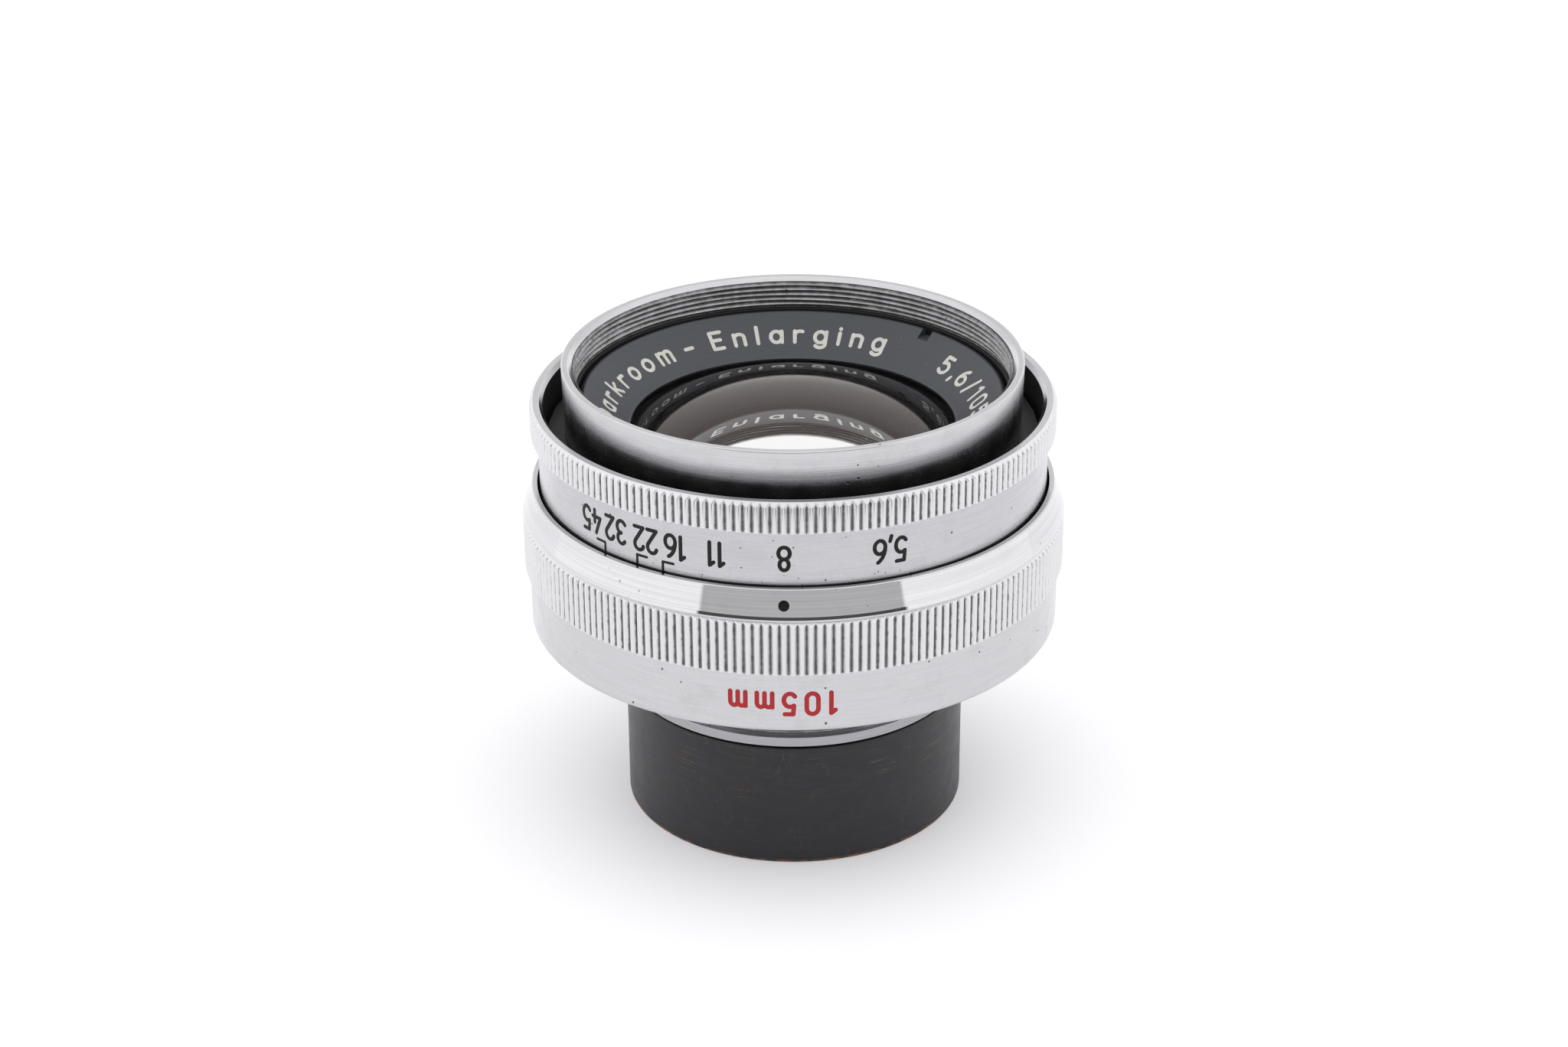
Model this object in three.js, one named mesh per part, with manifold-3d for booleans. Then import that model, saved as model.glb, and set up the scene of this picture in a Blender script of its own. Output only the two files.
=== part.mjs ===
// A 105 mm f/5.6 enlarging lens standing on its rear barrel with its front rim up.
// Millimetres, +Z up along the optical axis, origin at the centre of the rear barrel's end face.
// The index dot faces -Y. Angles in degrees run counter-clockwise seen from the front of the lens.
import * as THREE from "three";
import { mergeVertices } from "three/addons/utils/BufferGeometryUtils.js";
import Module from "manifold-3d";

const wasm = await Module();
wasm.setup();

// ---------- Driving dimensions ----------

// Standard interfaces.
const MOUNT_THREAD_R = 16.25; // M32.5 x 0.5, into the lens board
const FILTER_THREAD_MINOR_R = 20.0; // M40.5 x 0.5, into the front rim
const FILTER_THREAD_MAJOR_R = 20.25;

// Heights of the main features.
const REAR_BARREL_TOP = 12.2;
const SPIGOT_BOTTOM = 12.44;
const SEAT_Z = 18.93; // underside that rests on the lens board
const PLAIN_BAND_TOP = 24.62;
const BASE_KNURL_TOP = 29.95;
const INDEX_CONE_BOTTOM = 30.3;
const BASE_RING_TOP = 32.72;
const RING_KNURL_BOTTOM = 37.87;
const APERTURE_RING_TOP = 40.9;
const BODY_TOP = 36.4;
const LENS_TOP = 44.37;

// Radii of the main features.
const REAR_BARREL_R = 16.1;
const BODY_R = 21.9;
const BODY_BORE_R = 18.8;
const PLAIN_BAND_R = 24.87;
const BASE_KNURL_R = 25.34;
const INDEX_CONE_BOTTOM_R = 25.39;
const INDEX_CONE_TOP_R = 24.34;
const BASE_BORE_R = 24.07;
const SCALE_BAND_R = 23.62;
const RING_KNURL_R = 24.34;
const RIM_R = 21.28;
const RIM_FOOT_R = 21.1;

// Knurls: the real number of ridges, and how deep they are cut.
const BASE_KNURL_COUNT = 200;
const RING_KNURL_COUNT = 192;
const KNURL_DEPTH = 0.25;

// Fits: a radial running gap, and the gap between fixed pieces that touch.
const RUNNING_GAP = 0.35;
const REST_GAP = 0.3;

// The aperture ring's turn from the rest mark (8) to each f-stop's click.
const STOP_TURNS = [-22.8, 0, 14.5, 26.8, 33.5, 39.2, 42.6];
const OPEN_TURN = STOP_TURNS[0];
const CLOSED_TURN = STOP_TURNS[STOP_TURNS.length - 1];

// Iris. A blade turns IRIS_RATIO degrees for each degree of the ring.
const BLADE_COUNT = 10;
const IRIS_RATIO = 0.5306;
const PIVOT_CIRCLE_R = 13.0;
const OPEN_IRIS_R = 8.9;
const BLADE_OUTER_R = 12.45;
const BLADE_ROOT_R = 13.75;
const BLADE_THICKNESS = 0.12;
const BLADE_PITCH_Z = 0.22;
const LOWEST_BLADE_Z = 20.9;
const PIVOT_PIN_R = 0.35;
const DRIVE_PIN_R = 0.3;
const PIVOT_HOLE_R = 0.5;
const CAM_SLOT_WIDTH = 0.8;
const DRIVE_PIN_DISTANCE = 4.515; // from the pivot
const DRIVE_PIN_ANGLE = 80; // between the arm and the line to the axis, with the iris open
const CAM_PLATE_Z = [23.3, 24.3];
const IRIS_BASE_Z = [19.7, 20.6];
const IRIS_RIM_R = BODY_BORE_R - 0.3;

// Glass.
const GLASS_R = 13.4;
const FRONT_GLASS_R = 15.8; // the outermost front element
const CELL_BORE_R = 14.0;
const CELL_LIP_R = 12.4;

// Drive screws and the click.
const DRIVE_SCREW_Z = 24.9;
const DRIVE_SCREW_R = 0.55;
const DRIVE_SCREW_ANGLES = [0, 180];
const CLICK_Z = 29.0;
const CLICK_ANGLE = 90;
const CLICK_BALL_R = 0.7;
const CLICK_BALL_CENTRE_R = 21.2;
const CLICK_HOLE_R = 0.9;
const CLICK_HOLE_FLOOR_R = 19.2;
const DRIVER_SLOT = [0.5, 0.25, 2]; // depth, width and length of a screw's slot
const GRUB_SCREW_Z = 20.7;
const GRUB_SCREW_ANGLES = [5, 175];

// Facets around a circle.
const OUTER_FACETS = 40;
const INNER_FACETS = 32;
const GLASS_FACETS = 20;
const SMALL_FACETS = 10;

// ---------- Materials ----------

const finishes = {
  chrome: { color: 0xc9c9ce, roughness: 0.25, metalness: 1.0 },
  blackLacquer: { color: 0x2c2a2d, roughness: 0.35, metalness: 0.1 },
  blackAnodised: { color: 0x202024, roughness: 0.5, metalness: 0.2 },
  brass: { color: 0xb08d4a, roughness: 0.4, metalness: 1.0 },
  steel: { color: 0x8d8f93, roughness: 0.35, metalness: 1.0 },
  glass: { color: 0xbfc8d4, roughness: 0.05, metalness: 0.0 },
};

// ---------- Geometry helpers ----------

const radians = THREE.MathUtils.degToRad;

const polar = (radius, angle) => [radius * Math.cos(radians(angle)), radius * Math.sin(radians(angle))];

// Merges shared vertices, drops collapsed triangles and turns the faces outward.
function closedShell(geometry) {
  const bare = geometry.clone();
  bare.deleteAttribute("normal");
  bare.deleteAttribute("uv");
  const merged = mergeVertices(bare, 1e-4);
  const index = merged.index.array;
  const position = merged.attributes.position;
  const triangles = [];
  let volume = 0;
  const [a, b, c] = [new THREE.Vector3(), new THREE.Vector3(), new THREE.Vector3()];
  for (let i = 0; i < index.length; i += 3) {
    const corners = [index[i], index[i + 1], index[i + 2]];
    if (new Set(corners).size < 3) {
      continue;
    }
    triangles.push(corners);
    a.fromBufferAttribute(position, corners[0]);
    b.fromBufferAttribute(position, corners[1]);
    c.fromBufferAttribute(position, corners[2]);
    volume += a.dot(b.cross(c));
  }
  if (volume < 0) {
    triangles.forEach((corners) => corners.reverse());
  }
  return {
    numProp: 3,
    vertProperties: new Float32Array(position.array),
    triVerts: new Uint32Array(triangles.flat()),
  };
}

const solid = (geometry) => new wasm.Manifold(new wasm.Mesh(closedShell(geometry)));

// A body of revolution about +Z from a closed outline of [radius, height] points.
function lathe(outline, facets = OUTER_FACETS) {
  const loop = [...outline, outline[0]].map(([radius, height]) => new THREE.Vector2(radius, height));
  return solid(new THREE.LatheGeometry(loop, facets).rotateX(Math.PI / 2));
}

const tube = (innerR, outerR, bottom, top, facets = OUTER_FACETS) =>
  lathe([[innerR, bottom], [outerR, bottom], [outerR, top], [innerR, top]], facets);

// A flat outline of [x, y] points, extruded from one height to another.
function plate(points, bottom, top, holes = []) {
  const shape = new THREE.Shape(points.map(([x, y]) => new THREE.Vector2(x, y)));
  shape.holes = holes.map((hole) => new THREE.Path(hole.map(([x, y]) => new THREE.Vector2(x, y))));
  const geometry = new THREE.ExtrudeGeometry(shape, { depth: top - bottom, bevelEnabled: false });
  return solid(geometry.translate(0, 0, bottom));
}

function arcPoints(radius, from, to, steps, centre = [0, 0]) {
  const points = [];
  for (let i = 0; i <= steps; i += 1) {
    const [x, y] = polar(radius, from + ((to - from) * i) / steps);
    points.push([centre[0] + x, centre[1] + y]);
  }
  return points;
}

const circle = (radius, facets, centre) => arcPoints(radius, 0, 360 - 360 / facets, facets - 1, centre);

const upright = (radius, bottom, top, centre, facets = SMALL_FACETS) =>
  plate(circle(radius, facets, centre), bottom, top);

// A round bar whose axis is a horizontal radius of the lens.
function radialBar(radius, fromR, toR, angle, height, facets = SMALL_FACETS) {
  const bar = new THREE.CylinderGeometry(radius, radius, toR - fromR, facets);
  bar.rotateZ(-Math.PI / 2).translate((fromR + toR) / 2, 0, height).rotateZ(radians(angle));
  return solid(bar);
}

function block(size, centre, angle = 0) {
  const box = new THREE.BoxGeometry(...size).translate(...centre);
  return solid(box.rotateZ(radians(angle)));
}

const joined = (first, ...others) => others.reduce((body, other) => body.add(other), first);
const cut = (body, ...tools) => tools.reduce((rest, tool) => rest.subtract(tool), body);

const lens = new THREE.Group();

function addNode(name, body, finish) {
  const { vertProperties, triVerts } = body.getMesh();
  const geometry = new THREE.BufferGeometry();
  geometry.setAttribute("position", new THREE.BufferAttribute(vertProperties, 3));
  geometry.setIndex(new THREE.BufferAttribute(triVerts, 1));
  geometry.computeVertexNormals();
  const mesh = new THREE.Mesh(geometry, new THREE.MeshStandardMaterial(finishes[finish]));
  mesh.name = name;
  lens.add(mesh);
  return mesh;
}

// ---------- Knurled rings ----------

// A straight knurl: one ridge and one valley in each pitch, around a round bore.
function knurl(crestR, count, boreR, bottom, top) {
  const outline = [];
  for (let i = 0; i < count; i += 1) {
    outline.push(polar(crestR, (360 * i) / count));
    outline.push(polar(crestR - KNURL_DEPTH, (360 * (i + 0.5)) / count));
  }
  return plate(outline, bottom, top, [circle(boreR, OUTER_FACETS)]);
}

// ---------- Rear cell ----------

function addRearCell() {
  const neckR = 14.8;
  const neckTop = 17.6;
  const lipBottom = 16.1;
  const barrel = lathe([
    [CELL_BORE_R + 0.3, 0],
    [REAR_BARREL_R - 0.15, 0],
    [REAR_BARREL_R, 0.15],
    [REAR_BARREL_R, REAR_BARREL_TOP],
    [neckR, REAR_BARREL_TOP],
    [neckR, neckTop],
    [CELL_LIP_R, neckTop],
    [CELL_LIP_R, lipBottom],
    [CELL_BORE_R, lipBottom],
    [CELL_BORE_R, 0.3],
  ]);
  addNode("rear_cell_barrel", barrel, "blackLacquer");

  // The retaining ring has two slots for a spanner.
  const ringR = CELL_BORE_R - REST_GAP;
  const ring = tube(12.4, ringR, 0.7, 2.8, INNER_FACETS);
  const slots = block([30, 1.2, 1.4], [0, 0, 0.9]);
  addNode("rear_retaining_ring", cut(ring, slots), "blackAnodised");
  addNode("rear_spacer", tube(12.7, ringR, 11.35, 13.0, INNER_FACETS), "blackAnodised");
}

// ---------- Glass elements ----------

// Points of a spherical face from the axis to the rim; bend is +1 when the rim stands higher.
function sphericalFace(vertexZ, curvatureR, bend, edgeR = GLASS_R) {
  const steps = 3;
  const points = [];
  for (let i = 0; i <= steps; i += 1) {
    const r = (edgeR * i) / steps;
    points.push([r, vertexZ + bend * (curvatureR - Math.sqrt(curvatureR ** 2 - r ** 2))]);
  }
  return points;
}

function addElement(name, lower, upper) {
  const outline = [...sphericalFace(...lower), ...sphericalFace(...upper).reverse()];
  addNode(name, lathe(outline, GLASS_FACETS), "glass");
}

// Vertex height, radius of curvature and bend of each element's lower and upper face.
const elements = {
  rear_element_outer: [[1.0, 38, 1], [7.5, 45, -1]],
  rear_element_middle: [[7.8, 45, -1], [9.4, 55, 1]],
  rear_element_inner: [[10.9, 34, 1], [14.0, 50, 1]],
  front_element_inner: [[26.9, 90, -1], [29.7, 34, -1]],
  front_element_middle: [[31.0, 32, -1], [33.2, 60, 1]],
  front_element_outer: [[33.5, 60, 1, FRONT_GLASS_R], [41.3, 30, -1, FRONT_GLASS_R]],
};

// ---------- Main barrel ----------

function arcSlot(angle) {
  const endMargin = 2.8;
  const steps = 6;
  const from = angle + OPEN_TURN - endMargin;
  const to = angle + CLOSED_TURN + endMargin;
  const outline = [
    ...arcPoints(BODY_R + 1, from, to, steps),
    ...arcPoints(BODY_BORE_R - 1, to, from, steps),
  ];
  return plate(outline, DRIVE_SCREW_Z - 0.8, DRIVE_SCREW_Z + 0.8);
}

function addMainBarrel() {
  const spigotBoreR = 15.1;
  const threadR = MOUNT_THREAD_R - 0.1;
  const undercutR = MOUNT_THREAD_R - 0.35;
  const baffleR = 10.2;
  const [baffleBottom, baffleTop] = [18.2, 19.4];
  const [threadReliefBottom, threadReliefTop] = [13.4, 13.7];
  const body = lathe([
    [spigotBoreR, SPIGOT_BOTTOM],
    [MOUNT_THREAD_R, SPIGOT_BOTTOM],
    [MOUNT_THREAD_R, threadReliefBottom],
    [undercutR, threadReliefBottom],
    [undercutR, threadReliefTop],
    [threadR, threadReliefTop],
    [threadR, SEAT_Z],
    [BODY_R, SEAT_Z],
    [BODY_R, BODY_TOP],
    [BODY_BORE_R, BODY_TOP],
    [BODY_BORE_R, baffleTop],
    [baffleR, baffleTop],
    [baffleR, baffleBottom],
    [spigotBoreR, baffleBottom],
  ]);
  const clickHole = radialBar(CLICK_HOLE_R, CLICK_HOLE_FLOOR_R, BODY_R + 1, CLICK_ANGLE, CLICK_Z);
  addNode("main_barrel", cut(body, ...DRIVE_SCREW_ANGLES.map(arcSlot), clickHole), "chrome");
}

// ---------- Base ring with the index ----------

function addBaseRing() {
  const floorTop = 22.4;
  const footBoreR = BODY_R + REST_GAP;
  const valleyR = BASE_KNURL_R - KNURL_DEPTH;
  const rings = [
    lathe([
      [footBoreR, SEAT_Z],
      [PLAIN_BAND_R - 0.25, SEAT_Z],
      [PLAIN_BAND_R, SEAT_Z + 0.3],
      [PLAIN_BAND_R, PLAIN_BAND_TOP + 0.1],
      [valleyR - 0.1, PLAIN_BAND_TOP + 0.3],
      [valleyR - 0.1, BASE_KNURL_TOP + 0.15],
      [INDEX_CONE_BOTTOM_R - 0.1, BASE_KNURL_TOP + 0.15],
      [INDEX_CONE_BOTTOM_R, INDEX_CONE_BOTTOM],
      [INDEX_CONE_TOP_R, BASE_RING_TOP],
      [BASE_BORE_R, BASE_RING_TOP],
      [BASE_BORE_R, floorTop],
      [footBoreR, floorTop],
    ]),
    knurl(BASE_KNURL_R, BASE_KNURL_COUNT, BASE_BORE_R + 0.3, PLAIN_BAND_TOP, BASE_KNURL_TOP),
  ];
  const dotR = 0.46;
  const dotZ = 31.3;
  const dot = radialBar(dotR, INDEX_CONE_TOP_R + 0.25, INDEX_CONE_BOTTOM_R + 1, -90, dotZ);
  const screwHoleR = 0.8;
  const holes = GRUB_SCREW_ANGLES.map((angle) =>
    radialBar(screwHoleR, BODY_R, PLAIN_BAND_R + 1, angle, GRUB_SCREW_Z));
  addNode("base_ring", cut(joined(...rings), dot, ...holes), "chrome");

  GRUB_SCREW_ANGLES.forEach((angle, i) => {
    const headR = PLAIN_BAND_R - 0.3;
    const screw = radialBar(screwHoleR - REST_GAP, BODY_R + REST_GAP, headR, angle, GRUB_SCREW_Z);
    const slot = block(DRIVER_SLOT, [headR, 0, GRUB_SCREW_Z], angle);
    addNode(`base_grub_screw_${i + 1}`, cut(screw, slot), "steel");
  });
}

// ---------- Aperture ring, its lock ring, drive screws and click ----------

function addApertureRing() {
  const boreR = BODY_R + RUNNING_GAP;
  const recessR = 23.05;
  const ledgeZ = 36.5;
  const sleeveBottom = 22.7;
  const valleyR = RING_KNURL_R - KNURL_DEPTH;
  const lipInnerR = 23.45;
  const lipBevelZ = 40.4;
  const knurlBoreR = 23.7;
  const rings = [
    lathe([
      [boreR, sleeveBottom],
      [SCALE_BAND_R, sleeveBottom],
      [SCALE_BAND_R, RING_KNURL_BOTTOM + 0.1],
      [valleyR - 0.1, RING_KNURL_BOTTOM + 0.2],
      [valleyR - 0.1, APERTURE_RING_TOP],
      [lipInnerR, APERTURE_RING_TOP],
      [recessR, lipBevelZ],
      [recessR, ledgeZ],
      [boreR, ledgeZ],
    ]),
    knurl(RING_KNURL_R, RING_KNURL_COUNT, knurlBoreR, RING_KNURL_BOTTOM, APERTURE_RING_TOP - 0.15),
  ];
  const screwHoles = DRIVE_SCREW_ANGLES.map((angle) =>
    radialBar(DRIVE_SCREW_R + REST_GAP, BODY_R, SCALE_BAND_R + 1, angle, DRIVE_SCREW_Z));
  // One notch in the bore for each f-stop's click.
  const notchR = 0.95;
  const notchHalfHeight = 1.1;
  const notches = STOP_TURNS.map((turn) => {
    const centre = polar(BODY_R + 0.1, CLICK_ANGLE - turn);
    return upright(notchR, CLICK_Z - notchHalfHeight, CLICK_Z + notchHalfHeight, centre);
  });
  addNode("aperture_ring", cut(joined(...rings), ...screwHoles, ...notches), "chrome");
  const lockRing = tube(19.2, recessR - REST_GAP - 0.05, ledgeZ + REST_GAP, 37.6);
  addNode("aperture_lock_ring", lockRing, "blackAnodised");

  DRIVE_SCREW_ANGLES.forEach((angle, i) => {
    const tipR = 17.9;
    const headR = SCALE_BAND_R - 0.1;
    const screw = radialBar(DRIVE_SCREW_R, tipR, headR, angle, DRIVE_SCREW_Z);
    const slot = block(DRIVER_SLOT, [headR, 0, DRIVE_SCREW_Z], angle);
    addNode(`drive_screw_${i + 1}`, cut(screw, slot), "steel");
  });
}

class Helix extends THREE.Curve {
  constructor(radius, length, turns) {
    super();
    Object.assign(this, { radius, length, turns });
  }

  getPoint(t, target = new THREE.Vector3()) {
    const angle = 2 * Math.PI * this.turns * t;
    return target.set(this.radius * Math.cos(angle), this.radius * Math.sin(angle), this.length * t);
  }
}

function addClick() {
  const ball = new THREE.SphereGeometry(CLICK_BALL_R, 12, 8);
  const ballMesh = addNode("click_ball", solid(ball), "steel");
  const [ballX, ballY] = polar(CLICK_BALL_CENTRE_R, CLICK_ANGLE);
  ballMesh.position.set(ballX, ballY, CLICK_Z);

  const wireR = 0.08;
  const coilR = 0.5;
  const turns = 3;
  const springFrom = CLICK_HOLE_FLOOR_R + 0.15;
  const springTo = CLICK_BALL_CENTRE_R - CLICK_BALL_R - 0.15;
  const path = new Helix(coilR, springTo - springFrom, turns);
  const wire = new THREE.Shape(circle(wireR, 5, [0, 0]).map(([x, y]) => new THREE.Vector2(x, y)));
  const coil = new THREE.ExtrudeGeometry(wire, { steps: 8 * turns, extrudePath: path, bevelEnabled: false });
  const spring = addNode("click_spring", solid(coil), "steel");
  spring.rotation.set(-Math.PI / 2, 0, 0);
  spring.position.set(0, springFrom, CLICK_Z);
}

// ---------- Iris ----------

// A drive pin's place when its blade has turned by `turn` from fully open; the pivot is at angle 0.
function drivePin(turn) {
  const arm = radians(DRIVE_PIN_ANGLE - turn);
  return [
    PIVOT_CIRCLE_R - DRIVE_PIN_DISTANCE * Math.cos(arm),
    DRIVE_PIN_DISTANCE * Math.sin(arm),
  ];
}

// The cam slot that carries that pin, in the cam ring's own frame with the iris open.
function camSlot(index) {
  const steps = 8;
  const endMargin = 2.4;
  const centreAt = (ringTurn) => {
    const [x, y] = drivePin(ringTurn * IRIS_RATIO);
    const angle = THREE.MathUtils.radToDeg(Math.atan2(y, x)) - ringTurn + (360 * index) / BLADE_COUNT;
    return { radius: Math.hypot(x, y), angle };
  };
  const inner = [];
  const outer = [];
  for (let i = 0; i <= steps; i += 1) {
    const ringTurn = -endMargin + ((CLOSED_TURN - OPEN_TURN + 2 * endMargin) * i) / steps;
    const { radius, angle } = centreAt(ringTurn);
    inner.push(polar(radius - CAM_SLOT_WIDTH / 2, angle));
    outer.push(polar(radius + CAM_SLOT_WIDTH / 2, angle));
  }
  return plate([...inner, ...outer.reverse()], CAM_PLATE_Z[0] - 1, CAM_PLATE_Z[1] + 1);
}

function bladeOutline() {
  const rootEnd = 29;
  const tip = 112;
  const noseSteps = 4;
  const mid = (OPEN_IRIS_R + BLADE_OUTER_R) / 2;
  const half = (BLADE_OUTER_R - OPEN_IRIS_R) / 2;
  return [
    ...arcPoints(OPEN_IRIS_R, tip, 0, 9),
    ...arcPoints(BLADE_ROOT_R, -3, rootEnd, 3),
    ...arcPoints(BLADE_OUTER_R, rootEnd + 4, tip, 7),
    ...arcPoints(half, tip, tip + 180, noseSteps, polar(mid, tip)).slice(1, -1),
  ].map(([x, y]) => [x - PIVOT_CIRCLE_R, y]);
}

function addIris() {
  const pivotAngles = Array.from({ length: BLADE_COUNT }, (_, i) => (360 * i) / BLADE_COUNT);
  const baseInnerR = 9.6;
  const base = tube(baseInnerR, IRIS_RIM_R, ...IRIS_BASE_Z, INNER_FACETS);
  const pivotHoles = pivotAngles.map((angle) =>
    upright(PIVOT_HOLE_R, IRIS_BASE_Z[0] - 1, IRIS_BASE_Z[1] + 1, polar(PIVOT_CIRCLE_R, angle), 8));
  addNode("iris_base_ring", cut(base, ...pivotHoles), "blackAnodised");

  const [openPinX, openPinY] = drivePin(0);
  pivotAngles.forEach((angle, i) => {
    const bottom = LOWEST_BLADE_Z + BLADE_PITCH_Z * i;
    const leaf = plate(bladeOutline(), bottom, bottom + BLADE_THICKNESS);
    const middle = bottom + BLADE_THICKNESS / 2;
    const pivotPin = upright(PIVOT_PIN_R, IRIS_BASE_Z[0] + 0.1, middle, [0, 0], 6);
    const pinPlace = [openPinX - PIVOT_CIRCLE_R, openPinY];
    const drive = upright(DRIVE_PIN_R, middle, CAM_PLATE_Z[1] - 0.1, pinPlace, 6);
    const number = String(i + 1).padStart(2, "0");
    const blade = addNode(`iris_blade_${number}`, joined(leaf, pivotPin, drive), "blackAnodised");
    const [x, y] = polar(PIVOT_CIRCLE_R, angle);
    blade.position.set(x, y, 0);
    blade.rotation.z = radians(angle - OPEN_TURN * IRIS_RATIO);
  });

  const camOuterR = 18.4;
  const camRimR = 17.4;
  const camInnerR = 9.3;
  const camRimTop = 26.2;
  const camBlank = lathe([
    [camInnerR, CAM_PLATE_Z[0]],
    [camOuterR, CAM_PLATE_Z[0]],
    [camOuterR, camRimTop],
    [camRimR, camRimTop],
    [camRimR, CAM_PLATE_Z[1]],
    [camInnerR, CAM_PLATE_Z[1]],
  ]);
  const slots = pivotAngles.map((_, i) => camSlot(i).rotate([0, 0, -OPEN_TURN]));
  const screwHoles = DRIVE_SCREW_ANGLES.map((angle) =>
    radialBar(DRIVE_SCREW_R + REST_GAP, camRimR - 0.2, camOuterR + 1, angle, DRIVE_SCREW_Z + 0.25));
  addNode("iris_cam_ring", cut(camBlank, ...slots, ...screwHoles), "brass");
  const retainingRing = tube(17.0, IRIS_RIM_R, camRimTop + 0.4, 27.4, INNER_FACETS);
  addNode("iris_retaining_ring", retainingRing, "blackAnodised");
}

// ---------- Front cell ----------

function addFrontCell() {
  const neckR = 18.4;
  const noseR = 16.6;
  const [noseBottom, noseTop] = [24.7, 27.8];
  const lipTop = noseBottom + 0.75;
  const shoulderZ = 37.9;
  const pocketFloor = 38.4;
  const pocketR = 19.9;
  const ledgeR = 17.7;
  const ledgeZ = 37.4;
  const frontBoreR = FRONT_GLASS_R + REST_GAP;
  const frontSeatZ = 34.8;
  const threadBottom = 41.4;
  const barrel = lathe([
    [CELL_LIP_R, noseBottom],
    [noseR, noseBottom],
    [noseR, noseTop],
    [neckR, noseTop],
    [neckR, shoulderZ],
    [RIM_FOOT_R, shoulderZ],
    [RIM_R, LENS_TOP - 0.2],
    [RIM_R - 0.15, LENS_TOP],
    [20.6, LENS_TOP],
    [FILTER_THREAD_MAJOR_R, 43.9],
    [FILTER_THREAD_MINOR_R, 43.7],
    [FILTER_THREAD_MINOR_R, threadBottom],
    [pocketR, threadBottom],
    [pocketR, pocketFloor],
    [ledgeR, pocketFloor],
    [ledgeR, ledgeZ],
    [frontBoreR, ledgeZ],
    [frontBoreR, frontSeatZ],
    [CELL_BORE_R, frontSeatZ],
    [CELL_BORE_R, lipTop],
    [CELL_LIP_R, lipTop],
  ]);
  addNode("front_cell_barrel", barrel, "chrome");
  addNode("front_spacer", tube(12.9, CELL_BORE_R - REST_GAP, 27.35, 27.85, INNER_FACETS), "blackAnodised");

  // The name ring screws in over the front glass, with two notches for a spanner.
  const nameRing = lathe([
    [15.0, 37.7],
    [17.4, 37.7],
    [17.4, 38.7],
    [19.6, 38.7],
    [19.6, 41.0],
    [19.2, 41.25],
    [15.3, 38.05],
    [15.0, 37.95],
  ]);
  const notchAngles = [49, 229];
  const notchSize = [8, 1.3, 2];
  const notches = notchAngles.map((angle) => block(notchSize, [19, 0, 41.2], angle));
  addNode("name_ring", cut(nameRing, ...notches), "blackAnodised");
}

// ---------- Assembly ----------

addRearCell();
Object.entries(elements).forEach(([name, [lower, upper]]) => addElement(name, lower, upper));
addMainBarrel();
addBaseRing();
addApertureRing();
addClick();
addIris();
addFrontCell();

export default lens;
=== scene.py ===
"""Looks for the enlarger lens: its metal, glass and lettering, and the floor, light and camera."""
import math

import bmesh
import bpy
import numpy as np
from mathutils import Matrix, Vector


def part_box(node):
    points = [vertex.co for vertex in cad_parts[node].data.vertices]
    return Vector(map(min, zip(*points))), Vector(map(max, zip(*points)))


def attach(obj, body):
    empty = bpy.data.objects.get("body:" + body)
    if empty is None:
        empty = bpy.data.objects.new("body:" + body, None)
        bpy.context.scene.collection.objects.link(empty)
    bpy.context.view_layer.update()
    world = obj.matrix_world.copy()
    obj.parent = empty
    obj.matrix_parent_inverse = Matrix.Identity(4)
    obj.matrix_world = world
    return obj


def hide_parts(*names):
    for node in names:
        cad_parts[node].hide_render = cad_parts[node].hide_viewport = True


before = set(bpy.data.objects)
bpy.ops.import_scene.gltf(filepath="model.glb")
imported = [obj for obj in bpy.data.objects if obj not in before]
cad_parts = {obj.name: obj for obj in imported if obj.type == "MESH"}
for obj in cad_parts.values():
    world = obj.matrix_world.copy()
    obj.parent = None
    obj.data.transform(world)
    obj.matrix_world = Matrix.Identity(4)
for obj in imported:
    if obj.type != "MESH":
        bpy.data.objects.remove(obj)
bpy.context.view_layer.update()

MM = 0.001

# ---------------------------------------------------------------- places read from the frame, in millimetres


def top_of(node):
    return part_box(node)[1][2] / MM


def bottom_of(node):
    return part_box(node)[0][2] / MM


def radius_of(node):
    low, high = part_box(node)
    return (high[0] - low[0]) / 2 / MM


BARREL_R = radius_of("rear_cell_barrel")
SEAT_Z = bottom_of("base_ring")
BASE_TOP = top_of("base_ring")
APERTURE_BOTTOM = bottom_of("aperture_ring")
APERTURE_TOP = top_of("aperture_ring")
LENS_TOP = top_of("front_cell_barrel")
RIM_R = radius_of("front_cell_barrel")
NAME_TOP = top_of("name_ring")

# Sizes that the frame's boxes don't give, in millimetres.
PLAIN_BAND_R = 24.87
BASE_KNURL_R = 25.34
BASE_KNURL_Z = (24.62, 29.95)
CONE_FOOT = (25.36, 30.24)
CONE_TOP_R = 24.36
BASE_BORE_R = 23.86
SCALE_BAND_R = 23.62
RING_KNURL_R = 24.34
RING_KNURL_Z = (37.87, APERTURE_TOP - 0.05)
RECESS_R = 23.05
BODY_R = 21.9
SPIGOT_R = 16.25
THREAD_PITCH = 0.5
FILTER_THREAD_R = 20.25
FRONT_GLASS_R = 15.8
INNER_GLASS_R = 13.4
INDEX_Z = 31.4
SCALE_SPECKS_TOP = 34.0
KNURL_DEPTH = 0.27
BASE_RIDGES = 200
RING_RIDGES = 192
# Crest radius, radius at the foot of the end chamfers, heights, and rise of a chamfer for each unit of depth.
BASE_KNURL_SHAPE = (BASE_KNURL_R, PLAIN_BAND_R + 0.04, BASE_KNURL_Z, (0.35, 1.0))
RING_KNURL_SHAPE = (RING_KNURL_R, RING_KNURL_R - 0.34, RING_KNURL_Z, (0.35, 1.3))

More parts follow.
